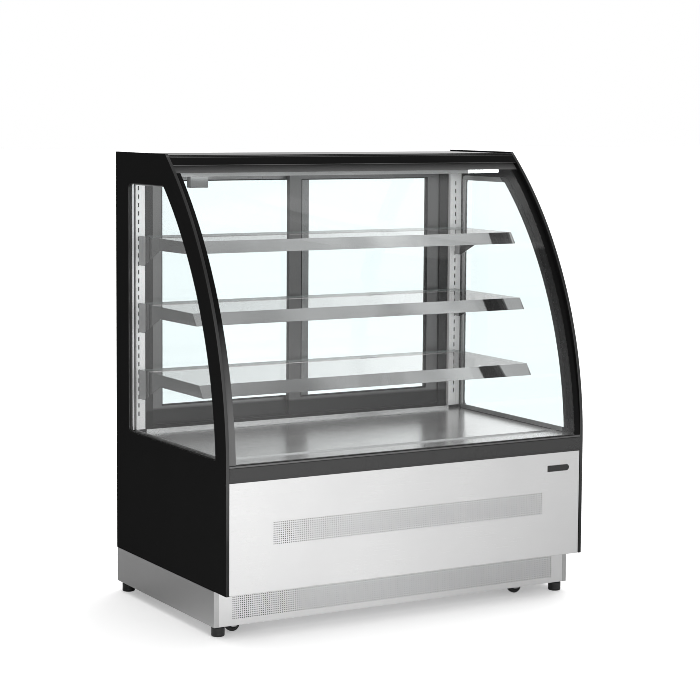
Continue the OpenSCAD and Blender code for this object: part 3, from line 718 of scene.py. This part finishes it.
def sheet_with_hole(name, outer, inner, x0, x1, edge, material, replaces=None):
    """Flat sheet across x with an opening, made as a filled curve so its edges are rolled."""
    curve = bpy.data.curves.new(name, "CURVE")
    curve.dimensions = "2D"
    curve.fill_mode = "BOTH"
    curve.extrude = abs(x1 - x0) / 2000 - edge / 1000
    curve.bevel_depth = edge / 1000
    curve.bevel_resolution = 2
    curve.offset = -edge / 1000
    for loop in (outer, inner):
        spline = curve.splines.new("POLY")
        spline.points.add(len(loop) - 1)
        for i, (y, z) in enumerate(loop):
            spline.points[i].co = (y / 1000, z / 1000, 0, 1)
        spline.use_cyclic_u = True
    holder = bpy.data.objects.new(name + "_curve", curve)
    scene.collection.objects.link(holder)
    depsgraph = bpy.context.evaluated_depsgraph_get()
    mesh = bpy.data.meshes.new_from_object(holder.evaluated_get(depsgraph))
    bpy.data.objects.remove(holder)
    # the curve lies flat in (y, z), with its thickness along x
    middle = (x0 + x1) / 2000
    for vert in mesh.vertices:
        y, z, x = vert.co
        vert.co = (middle + x, FASCIA_Y + y, z)
    mesh.name = name
    obj = new_object(name, mesh, material)
    weld(obj)
    smooth_shading(obj)
    register(obj, "cabinet", replaces)


def build_end_panels():
    for sign, side in SIDES:
        sheet_with_hole("end_shell_" + side, panel_outline(), window_outline(), sign * OUTER,
                        sign * INNER, 0.9, "panel_black", replaces="end_panel_" + side)
        sheet_with_hole("window_seal_" + side, window_outline(), window_outline(-2.6),
                        sign * (INNER + 0.2), sign * (INNER + 4.5), 0.6, "window_seal_rubber")
        set_material("side_glass_" + side, "glass_side")


# ------------------------------------------------------------------ front

def build_front_glass():
    low, high = box_of("front_glass")
    heights = steps(low[2], high[2], 72)
    profile = [(arc_y(GLASS_OUTER_ARC, z), z) for z in heights]
    profile += [(arc_y(GLASS_INNER_ARC, z), z) for z in reversed(heights)]
    n = len(profile)
    print_edge = INNER - PRINT_WIDTH
    stations = (low[0], -print_edge, print_edge, high[0])
    verts = [(x, y, z) for x in stations for y, z in profile]
    faces = []
    for k in range(3):
        for i in range(n):
            j = (i + 1) % n
            faces.append((k * n + i, k * n + j, (k + 1) * n + j, (k + 1) * n + i))
    last = 3 * n
    for i in range(n // 2 - 1):
        faces.append((i + 1, i, n - 1 - i, n - 2 - i))
        faces.append((last + i, last + i + 1, last + n - 2 - i, last + n - 1 - i))
    pane = add_mesh("curved_front_pane", verts, faces, "glass_front", "clear_glass",
                    replaces="front_glass")
    for polygon in pane.data.polygons:
        polygon.use_smooth = abs(polygon.normal.x) < 0.5 and len(polygon.vertices) == 4
    bm = bmesh.new()
    bm.from_mesh(pane.data)
    bmesh.ops.recalc_face_normals(bm, faces=bm.faces)
    for edge in bm.edges:
        if len(edge.link_faces) == 2 and edge.calc_face_angle() > math.radians(40):
            edge.smooth = False
    bm.to_mesh(pane.data)
    bm.free()


def build_lower_front():
    half = INNER - 2.5
    low, high = PLINTH_TOP + 2, FASCIA_BOTTOM - 0.3
    skin = Shape().part(*perforated((-half, half, low, high), field=(-454, 454, 262, 328),
                                    count=(151, 11), radius=1.62, depth=(1.0, 1.6)))
    # rolled side folds, as (x, y)
    fold = [(half, 1.0)] + arc_points(half, 3.4, 2.4, -90, 90)
    fold += [(INNER - 0.1, 13.5), (INNER - 1.3, 13.5)] + arc_points(half, 3.4, 1.2, 0, -90)
    for sign, _ in SIDES:
        skin.prism([(sign * x, y) for x, y in fold], low, high, "z")
    # bottom fold: y, height above the plinth
    hem = [(1.0, 2), (1.0, 1.6), (1.6, 0.6), (2.6, 0), (17.5, 0), (17.5, 1.2), (2.9, 1.2),
           (2.2, 1.9)]
    skin.prism([(y, PLINTH_TOP + rise) for y, rise in hem], -half, half)
    # painted shade: a black sheet just behind the perforated field, standing in for the shade inside
    Shape().box((-460, 2.6, 256), (460, 5.6, 334)).make(
        "intake_shade_backing", "shade_backing_black", "panel_black", bevel=0.5)
    skin.make("lower_front_skin", "front_steel", "stainless_brushed",
              replaces="lower_front_panel")


def build_fascia():
    low, high = FASCIA_BOTTOM, box_of("fascia_strip")[1][2]
    profile = [(2.2, low)] + arc_points(1.8, low + 1.8, 1.5, -90, -90, 4)
    # shallow groove in the face
    profile += [(0.3, low + 6.0), (0.9, low + 6.4), (0.9, low + 7.2), (0.3, low + 7.6)]
    profile += arc_points(3.3, high - 3.0, 3.0, 180, -90)
    profile += [(12.8, high), (12.8, high - 1.6), (3.6, high - 1.6), (2.0, high - 3.2),
                (2.0, low + 3.0), (3.0, low + 1.8), (12.8, low + 1.8), (12.8, low)]
    Shape().prism(profile, -(INNER - 0.4), INNER - 0.4).make(
        "fascia_profile", "fascia_dark", "fascia_dark", replaces="fascia_strip", smooth=True)
    Shape().box((-(INNER - 1), 1.3, low - 0.5), (INNER - 1, 3.0, low + 0.3)).make(
        "fascia_joint_seal", "gasket_rubber", "fascia_dark", bevel=0.15)


def build_glass_channel():
    base = box_of("glass_channel")[0][2]
    # (y, height above the base)
    channel = [(0.6, 0), (12.0, 0), (12.0, 6.4), (11.6, 7), (9.0, 7), (8.6, 6.4), (8.6, 2),
               (1.6, 2), (1.6, 4.6), (1.2, 5.0), (0.9, 5.0), (0.6, 4.6)]
    front_seal = [(1.65, 2.1), (1.65, 6.0), (1.3, 6.8), (0.7, 6.9), (0.9, 6.2), (1.2, 5.2)]
    rear_seal = [(8.5, 2.1), (8.5, 6.5), (8.3, 8.0), (7.9, 8.2), (7.7, 7.0), (7.7, 2.1)]

    def raised(profile):
        return [(y, base + rise) for y, rise in profile]
    Shape().prism(raised(channel), -(INNER - 0.4), INNER - 0.4).make(
        "glass_channel_profile", "channel_alloy", "aluminium_trim", replaces="glass_channel",
        bevel=0.2)
    seals = Shape()
    for profile in (front_seal, rear_seal):
        seals.prism(raised(profile), -(INNER - 1), INNER - 1)
    seals.make("glass_bed_seal", "gasket_rubber", "aluminium_trim", smooth=True)


def build_badge():
    """Blank badge, nearly square at the left and round at the right, with a fine rim."""
    (left, _, bottom), (right, _, top) = box_of("badge_plate")

    def outline(inset):
        x0, x1, z0, z1 = left + inset, right - inset, bottom + inset, top - inset
        radius = (z1 - z0) / 2
        points = [(x0 + 1.5, z0), (x1 - radius, z0)]
        points += arc_points(x1 - radius, (z0 + z1) / 2, radius, -90, 180, 16)[1:16]
        return points + [(x1 - radius, z1), (x0 + 1.5, z1), (x0 + 0.4, z1 - 0.4),
                         (x0, z1 - 1.5), (x0, z0 + 1.5), (x0 + 0.4, z0 + 0.4)]
    Shape().prism(outline(0.0), 0.35, 1.0, "y").make(
        "badge_rim", "badge_rim", "badge_black", bevel=0.2, replaces="badge_plate")
    Shape().prism(outline(0.9), 0.2, 0.9, "y").make(
        "badge_face", "badge_black", "badge_black", bevel=0.15)


# ------------------------------------------------------------------ plinth

def build_plinth_front():
    half = OUTER - 3
    front, bottom = PLINTH_Y, PLINTH_BOTTOM
    skin = Shape().part(*perforated((-half, half, bottom + 0.2, PLINTH_TOP - 0.2),
                                    field=(-544, 544, 47, 113), count=(181, 11), radius=1.68,
                                    depth=(front, front + 0.6)))
    # bottom fold: x from, x to, depth
    for x0, x1, depth in ((-half, -437, 2.3), (-437, 397, 22.0), (397, half, 2.3)):
        skin.prism([(front, bottom + 0.2), (front + 0.3, bottom + 0.05),
                    (front + depth, bottom + 0.05), (front + depth, bottom + 1.2),
                    (front + 1.2, bottom + 1.2)], x0, x1)
    # painted shade: a black sheet just behind the perforated field, standing in for the shade inside
    Shape().box((-550, front + 1.4, 42), (550, front + 4.4, 118)).make(
        "plinth_shade_backing", "shade_backing_black", "panel_black", bevel=0.5)
    skin.make("plinth_front_skin", "plinth_steel", "stainless_brushed", replaces="plinth_front")


def build_plinth_sides():
    """Folded sides: rolled corners, with returns onto the front and at the back."""
    sheet, corner = 1.2, 3.0
    inner_corner = corner - sheet
    return_x, corner_x = OUTER - 15, OUTER - corner
    front = PLINTH_Y - 0.9
    side_back = box_of("plinth_sides")[1][1]
    back = side_back + 1.8
    fold = [(return_x, front)]
    fold += arc_points(corner_x, front + corner, corner, -90, 90)
    fold += arc_points(corner_x, back - corner, corner, 0, 90)
    fold += [(return_x, back), (return_x, back - sheet)]
    fold += arc_points(corner_x, back - corner, inner_corner, 90, -90)
    fold += arc_points(corner_x, front + corner, inner_corner, 0, -90)
    fold.append((return_x, front + sheet * 0.7))
    sides = Shape()
    for sign, _ in SIDES:
        sides.prism([(sign * x, y) for x, y in fold], PLINTH_BOTTOM, PLINTH_TOP - 0.4, "z")
        x0, x1 = sorted((sign * (OUTER - 16), sign * (OUTER - 1.3)))
        sides.box((x0, front + 3, PLINTH_BOTTOM), (x1, side_back - 2, PLINTH_BOTTOM + 1.2))
    sides.make("plinth_side_folds", "plinth_side", "stainless_brushed",
               replaces="plinth_sides", smooth=True, bevel=0.25)


# ------------------------------------------------------------------ header and lamp

def build_header():
    low, high = box_of("header_bar")[0][2], box_of("header_bar")[1][2]
    back = 402.0
    profile = []
    for i, z in enumerate(steps(low, high, 26)):
        y = arc_y(PANEL_ARC, z) + 0.25
        if i == 0:
            y += 0.7
        # two fine grooves near the top edge
        if 2.0 < high - z < 3.2 or 6.2 < high - z < 7.4:
            y += 0.9
        profile.append((y, z))
    profile += [(back, high - 0.2), (back, high - 2.2),
                (arc_y(PANEL_ARC, high - 3) + 4.5, high - 3.2),
                (arc_y(PANEL_ARC, low + 3) + 4.5, low + 3),
                (back, low + 2.4), (back, low + 0.2)]
    Shape().prism(profile, -(INNER - 0.3), INNER - 0.3).make(
        "header_profile", "header_black", "panel_black", replaces="header_bar")
    # painted highlight: grey strips in the two grooves stand in for the light caught along the
    # header's top edge
    for drop, name in ((2.6, "upper"), (6.8, "lower")):
        z = high - drop
        y = arc_y(PANEL_ARC, z)
        Shape().prism([(y + 0.55, z - 0.45), (y + 1.0, z - 0.45), (y + 1.35, z + 0.45),
                       (y + 0.9, z + 0.5)], -(INNER - 0.8), INNER - 0.8).make(
            "header_highlight_strip_" + name, "trim_grey", "trim_grey")


def build_lamp():
    """Frosted tube between two end caps, with a backing strip and a cover in front."""
    tube_low, tube_high = box_of("led_tube")
    x0, x1 = tube_low[0], tube_high[0]
    y, z = 415.0, 1270.0
    radius = 5.9
    # (radius, x)
    tube = [(0.0, x0 + 13), (radius, x0 + 13), (radius, x1 - 14), (radius, x1 - 8)]
    tube += arc_points(0, x1 - 8, radius, 0, 90, 8)[1:8] + [(0.0, x1 - 2.1)]
    Shape().lathe(tube, (0, y, z), "x", 32).make(
        "lamp_tube", "lamp_diffuser", "lamp_white", smooth=True, replaces="led_tube")
    cap = [(0.0, 0), (6.2, 0), (7.0, 0.8), (7.0, 12.5), (6.6, 13.4), (6.2, 14), (6.2, 15),
           (0.0, 15)]
    caps = Shape().lathe([(r, x0 + along) for r, along in cap], (0, y, z), "x", 32)
    caps.box((-556, y - 2.2, z + 5.2), (556, y + 2.2, z + 7.4))
    caps.make("lamp_caps", "lip_alloy", "lamp_white", bevel=0.2)
    Shape().prism([(y - 8.6, z - 6.0), (y - 7.9, z - 6.6), (y - 7.4, z - 6.0),
                   (y - 7.4, z + 7.2), (y - 8.6, z + 7.2)], x0 + 15, 446).make(
        "lamp_cover", "alloy_x", "lamp_white", bevel=0.2)


# ------------------------------------------------------------------ rear doors

def build_door(side, frame_material):
    finish_cad("door_%s_frame" % side, frame_material, 0.6)
    set_material("door_%s_glass" % side, "glass_door")
    frame_low, frame_high = box_of("door_%s_frame" % side)
    glass_low, glass_high = box_of("door_%s_glass" % side)
    # glazing seals on both faces
    inset, width = 8, 3.0
    x0, z0 = glass_low[0] + inset, glass_low[2] + inset
    x1, z1 = glass_high[0] - inset, glass_high[2] - inset
    seal = Shape()
    for y0, y1 in ((frame_low[1] + 0.4, frame_low[1] + 5.0),
                   (frame_high[1] - 5.0, frame_high[1] - 0.4)):
        seal.box((x0, y0, z0), (x1, y1, z0 + width))
        seal.box((x0, y0, z1 - width), (x1, y1, z1))
        seal.box((x0, y0, z0 + width), (x0 + width, y1, z1 - width))
        seal.box((x1 - width, y0, z0 + width), (x1, y1, z1 - width))
    seal.make("door_%s_glazing_seal" % side, "gasket_rubber", "door_alloy",
              body="door_" + side, bevel=0.6)


# ------------------------------------------------------------------ interior

DECK_Z = 490.0


def build_deck():
    """Perforated air grille at the front, then a plain sheet with a slotted row at the back."""
    half = INNER - 0.6
    verts, faces = perforated((-half, half, 14.2, 111.8), field=(-555, 555, 30, 104),
                              count=(185, 13), radius=1.7, depth=(0.0, 1.2))
    grille = Shape().part([(x, z, DECK_Z - y) for x, y, z in verts], faces)     # laid flat
    grille.box((-(INNER - 11), 111.8, DECK_Z - 1.2), (INNER - 11, 113.2, DECK_Z + 3.6))
    grille.make("deck_air_grille", "deck_steel", "liner_stainless")

    slot_front, slot_back = 599.6, 610.4
    slot_pitch, slot_length = 40, 30
    bottom = DECK_Z - 1.4
    sheet = Shape()
    sheet.box((-half, 113.4, bottom), (half, slot_front, DECK_Z))
    sheet.box((-half, slot_back, bottom), (half, 660.8, DECK_Z))
    start = -half
    for slot in range(-500, 471, slot_pitch):
        sheet.box((start, slot_front, bottom), (slot, slot_back, DECK_Z))
        start = slot + slot_length
    sheet.box((start, slot_front, bottom), (half, slot_back, DECK_Z))
    sheet.box((-540, 644.2, DECK_Z - 0.2), (540, 645.6, DECK_Z + 9.8))
    sheet.make("deck_sheet", "deck_steel", "liner_stainless", replaces="deck_plate")


def build_shelf(level):
    finish_cad("shelf_frame_" + level, "rail_steel", 0.35)
    arris = set_material("shelf_glass_" + level, "glass_shelf").modifiers.new("arris", "BEVEL")
    arris.width = 0.0007
    arris.segments = 2


# ------------------------------------------------------------------ running gear

def build_wheel(corner):
    """Tread, side walls, a recessed web with six ribs on each side, and a hub."""
    body = "caster_wheel_" + corner
    low, high = box_of(body)
    x, y, z = [(a + b) / 2 for a, b in zip(low, high)]
    radius, hub = (high[2] - low[2]) / 2, (high[1] - low[1]) / 2
    # (radius, y) from the hub to the tread on the front side, mirrored for the back
    half = [(3.1, -hub), (5.6, -hub), (6.0, -hub + 0.5), (6.0, -7.2), (6.6, -6.6),
            (12.4, -5.4), (13.0, -6.0), (13.2, -7.4), (13.8, -8.0), (radius - 3.2, -9.0),
            (radius - 1.4, -8.2), (radius - 0.4, -6.6), (radius, -4.0)]
    profile = half + [(r, -along) for r, along in reversed(half)]
    Shape().lathe(profile, (x, y, z), "y", 56).make(
        "wheel_" + corner, "wheel_rubber", "wheel_black", body=body, smooth=True, replaces=body)
    ribs = Shape()
    for k in range(6):
        angle = math.radians(60 * k)
        rib = [(x + out * math.cos(angle) - across * math.sin(angle),
                z + out * math.sin(angle) + across * math.cos(angle))
               for out, across in ((6.2, -0.7), (12.7, -0.7), (12.7, 0.7), (6.2, 0.7))]
        for near, far in ((-7.0, -5.2), (5.2, 7.0)):
            ribs.prism(rib, y + near, y + far, "y")
    ribs.make("wheel_ribs_" + corner, "plastic_black", "wheel_black", body=body, bevel=0.2)


def build_foot(corner):
    """Levelling foot: moulded pad and threaded stem."""
    body = "foot_" + corner
    low, high = box_of(body)
    centre = ((low[0] + high[0]) / 2, (low[1] + high[1]) / 2, 0)
    radius, height, pad_top = (high[0] - low[0]) / 2, high[2], 26.5
    # (radius, z)
    pad = [(0.0, 0.0), (radius - 3.2, 0.0), (radius - 1.6, 0.5), (radius - 0.5, 1.7),
           (radius, 3.6), (radius, 8.6), (radius - 0.5, 9.0), (radius - 0.5, 9.8),
           (radius, 10.2), (radius, pad_top - 2.2), (radius - 0.7, pad_top - 0.8),
           (radius - 2.0, pad_top - 0.2), (11.0, pad_top), (0.0, pad_top)]
    Shape().lathe(pad, centre, "z", 56).make(
        "foot_pad_" + corner, "foot_black", "foot_black", body=body, smooth=True, replaces=body)
    root, crest, pitch = 4.2, 4.95, 1.5
    z = pad_top - 0.2
    stem = [(0.0, z)]
    while z < height - 1.6:
        stem += [(root, z), (crest, z + 0.65), (root, z + 1.3)]
        z += pitch
    stem += [(root, height - 0.8), (3.6, height), (0.0, height)]
    Shape().lathe(stem, centre, "z", 32).make(
        "foot_stem_" + corner, "zinc_plate", "foot_black", body=body, bevel=0.15)


# CAD node, material, bevel width, bevel segments where not 2
MACHINERY = (
    ("compressor", "compressor_enamel", 1.2, 3),
    ("condenser", "coil_fins", 0.0),
    ("evaporator", "coil_fins", 0.0),
    ("condenser_fan", "plastic_black", 0.3),
    ("evaporator_fan", "plastic_black", 0.3),
    ("fan_motors", "motor_grey", 0.6),
    ("control_unit", "plastic_black", 0.5),
    ("button_set", "key_grey", 0.5),
    ("button_up", "key_grey", 0.5),
    ("button_down", "key_grey", 0.5),
    ("light_switch", "rocker_red", 0.5),
    ("power_inlet", "plastic_black", 0.5),
)


def build_cabinet():
    build_end_panels()
    build_front_glass()
    build_lower_front()
    build_fascia()
    build_glass_channel()
    build_badge()
    build_plinth_front()
    build_plinth_sides()
    finish_cad("plinth_rear", "plinth_steel", 0.3)
    build_header()
    finish_cad("top_sheet", "top_steel", 0.8, 3)
    finish_cad("ceiling_panel", "ceiling_steel", 0.3)
    build_lamp()
    finish_cad("led_clips", "trim_grey", 0.25)
    finish_cad("sensor_cover", "sensor_grey", 1.6, 3)
    finish_cad("window_trims", "window_trim", 0.3)
    finish_cad("rear_frame", "frame_alloy", 0.6)
    finish_cad("rear_service_panel", "plinth_steel", 0.4)
    # the left door's frame takes the lighter copy, painted light
    build_door("left", "alloy_z_painted_lighter")
    build_door("right", "alloy_z")
    finish_cad("well_liner", "liner_steel", 0.0)
    build_deck()
    finish_cad("shelf_uprights", "upright_steel", 0.25)
    for level in ("top", "middle", "bottom"):
        build_shelf(level)
    finish_cad("base_tray", "galvanised_sheet", 0.3)
    finish_cad("caster_plates", "zinc_plate", 0.3)
    for corner in ("front_left", "front_right", "rear_left", "rear_right"):
        finish_cad("caster_fork_" + corner, "zinc_plate", 0.35)
        build_wheel(corner)
        build_foot(corner)
    for row in MACHINERY:
        finish_cad(*row)


# ------------------------------------------------------------------ floor

def floor_paper():
    """Pale paper. For rays other than the camera's its colour carries painted light and shade and a
    painted emission, so that what the sheet steel mirrors of it is shaped like the rest of the
    studio: bright in front, falling off to the right."""
    paper = 0.9
    mat = Material("floor_paper")
    cloud = mat.noise(scale=3.0)
    x, y, _ = mat.split(mat.place)
    forward = mat.sub(FASCIA_Y, y)
    # degrees to the right of straight ahead, from a point 1 m behind the fascia
    bearing = mat.mul(mat.math("ARCTAN2", x, mat.add(forward, 1.0)), 180 / math.pi)
    distance = mat.math("SQRT", mat.add(mat.math("POWER", x, 2.0),
                                        mat.math("POWER", forward, 2.0)))
    # painted light and shade for mirrored rays: brightest straight ahead, darker to the right, to
    # the left and close to the cabinet
    near = mat.mul(mat.smooth(bearing, -2, 42, 1.0, 0.51),
                   mat.smooth(bearing, -70, -35, 0.46, 1.0),
                   mat.smooth(distance, 0.35, 2.1, 0.80, 1.03))
    # painted light: emission added to what is mirrored
    lift = mat.mul(mat.mul(mat.smooth(bearing, -4, 40, 0.35, 0.21),
                           mat.smooth(bearing, -60, -30, 0.0, 1.0)),
                   mat.mul(mat.smooth(distance, 3.0, 9.0, 1.0, 0.3),
                           mat.smooth(distance, 0.8, 2.4, 0.68, 1.0)))
    # painted light: brighter patch behind, on the right
    near = mat.add(near, mat.mul(mat.smooth(bearing, 90, 120, 0.0, 0.5),
                                 mat.smooth(bearing, 140, 160, 1.0, 0.1)))
    # painted light and shade further out: darker to the right and to the left
    far = mat.mul(mat.smooth(bearing, 15, 45, 0.9, 0.5), mat.smooth(bearing, -60, -20, 0.4, 1.0))
    mirrored = mat.mul(mat.blend(mat.smooth(distance, 2.9, 3.7, 0.0, 1.0), near, far), paper)
    path = mat.node("LightPath").outputs
    seen = path["Is Camera Ray"]
    value = mat.blend(seen, mirrored, mat.vary(cloud, paper * 0.995, paper))
    cast = mat.pane_cast(path)
    mat.finish(mat.principled(Base_Color=mat.mix(1.0, mat.grey(value), cast, "MULTIPLY"),
                              Roughness=0.9, Specular_IOR_Level=0.1, Emission_Color=cast,
                              Emission_Strength=mat.blend(seen, lift, 0.34)))


def build_floor():
    half = 60       # metres
    mesh = bpy.data.meshes.new("floor")
    corners = [(-half, -half, 0), (half, -half, 0), (half, half, 0), (-half, half, 0)]
    mesh.from_pydata(corners, [], [(0, 1, 2, 3)])
    floor_paper()
    new_object("floor", mesh, "floor_paper")


# ------------------------------------------------------------------ light

def build_world():
    """White to the camera. Other rays see a wide soft box in front that fades to the right,
    a dark flag on the left, a lit backdrop behind and even light from above."""
    world = bpy.data.worlds.new("studio")
    scene.world = world
    world.use_nodes = True
    sky = Graph(world.node_tree)
    x, y, z = sky.split(sky.node("TexCoord").outputs["Generated"])
    azimuth = sky.math("ARCTAN2", x, sky.mul(y, -1.0))      # 0 in front, positive to the right

    def sector(start, end, low, high):
        """Change of level between two azimuths in degrees."""
        return sky.smooth(azimuth, math.radians(start), math.radians(end), low, high)

    front = sky.math("MINIMUM", sector(18, 42, 1.45, 0.3), sector(-70, -25, 0.13, 1.45))
    front = sky.mul(front, sky.smooth(z, 0.35, 0.75, 1.0, 0.3))
    back = sky.mul(sector(85, 120, 0.0, 1.0), sector(143, 155.5, 1.45, 0.32))
    back = sky.math("MAXIMUM", back, sector(-165, -110, 0.42, 0.13))
    path = sky.node("LightPath").outputs
    glossy, seen = path["Is Glossy Ray"], path["Is Camera Ray"]
    above = sky.mul(sky.smooth(z, 0.2, 0.9, 0.0, 0.4), sky.sub(1.0, sky.mul(glossy, 0.85)))
    level = sky.add(sky.math("MAXIMUM", front, back), above)

    # soft box and two flags high on the right, for glossy rays only; their edges are slanted
    slant = sky.add(x, sky.mul(z, 0.62))
    dim = sky.smooth(z, 0.762, 0.805, 0.13, 0.52)
    bright = sky.smooth(z, 0.755, 0.79, 0.50, 0.66)
    split = sky.smooth(slant, 0.9638, 0.9652, 0.0, 1.0)
    box = sky.add(sky.mul(dim, sky.sub(1.0, split)), sky.mul(bright, split))
    box = sky.mul(box, sky.smooth(slant, 0.9868, 0.9882, 1.0, 1.3))
    box = sky.mul(box, sky.mul(sky.smooth(slant, 0.990, 0.9985, 1.0, 0.55),
                               sky.smooth(slant, 0.9995, 1.0008, 1.0, 2.3)))
    box = sky.mul(box, sky.smooth(slant, 1.0128, 1.0136, 1.0, 0.75))
    area = sky.mul(sky.mul(sky.smooth(x, 0.38, 0.40, 0.0, 1.0),
                           sky.smooth(x, 0.62, 0.66, 1.0, 0.0)),
                   sky.mul(sky.smooth(z, 0.67, 0.69, 0.0, 1.0),
                           sky.smooth(z, 0.85, 0.88, 1.0, 0.0)))
    area = sky.mul(area, sky.smooth(y, -0.12, -0.05, 1.0, 0.0), glossy)
    level = sky.add(sky.mul(level, sky.sub(1.0, area)), sky.mul(box, area))

    strength = sky.add(sky.mul(seen, 1.0), sky.mul(sky.sub(1.0, seen), level))
    background = sky.node("Background", {"Color": sky.pane_cast(path), "Strength": strength})
    sky.node("OutputWorld", {"Surface": background})


def build_sun():
    light = bpy.data.lights.new("overhead", "SUN")
    light.energy = 1.1
    light.angle = math.radians(70)
    sun = bpy.data.objects.new("overhead", light)
    scene.collection.objects.link(sun)
    sun.rotation_euler = (math.radians(-8), math.radians(6), 0)
    sun.visible_glossy = False


def set_render():
    scene.view_settings.view_transform = "Standard"
    scene.view_settings.look = "None"
    scene.cycles.transparent_max_bounces = 40
    scene.cycles.max_bounces = 10
    scene.cycles.filter_width = 0.85
    scene.cycles.sample_clamp_indirect = 2.0
    scene.cycles.blur_glossy = 2.0


# ------------------------------------------------------------------ camera

def build_camera():
    """Stands in front and to the left, looking to the right and slightly down."""
    yaw, pitch, roll = 0.5186607, 0.0915692, 0.0060389      # radians
    ahead = Vector((math.sin(yaw) * math.cos(pitch), math.cos(yaw) * math.cos(pitch),
                    -math.sin(pitch)))
    level_right = Vector((math.cos(yaw), -math.sin(yaw), 0.0))
    level_up = level_right.cross(ahead)
    right = math.cos(roll) * level_right + math.sin(roll) * level_up
    up = -math.sin(roll) * level_right + math.cos(roll) * level_up
    place = point(-3060.0379, -4844.9291, 1460.2948)

    lens = bpy.data.cameras.new("camera")
    camera = bpy.data.objects.new("camera", lens)
    scene.collection.objects.link(camera)
    matrix = Matrix.Identity(4)
    for i in range(3):
        matrix[i][0], matrix[i][1], matrix[i][2], matrix[i][3] = right[i], up[i], -ahead[i], place[i]
    camera.matrix_world = matrix
    lens.sensor_width = 36.0
    lens.lens = 104.23938343
    lens.shift_x = 0.0357142857
    lens.shift_y = -0.0785714286
    lens.clip_end = 200.0
    scene.camera = camera


make_materials()
build_cabinet()
build_floor()
build_world()
build_sun()
set_render()
build_camera()
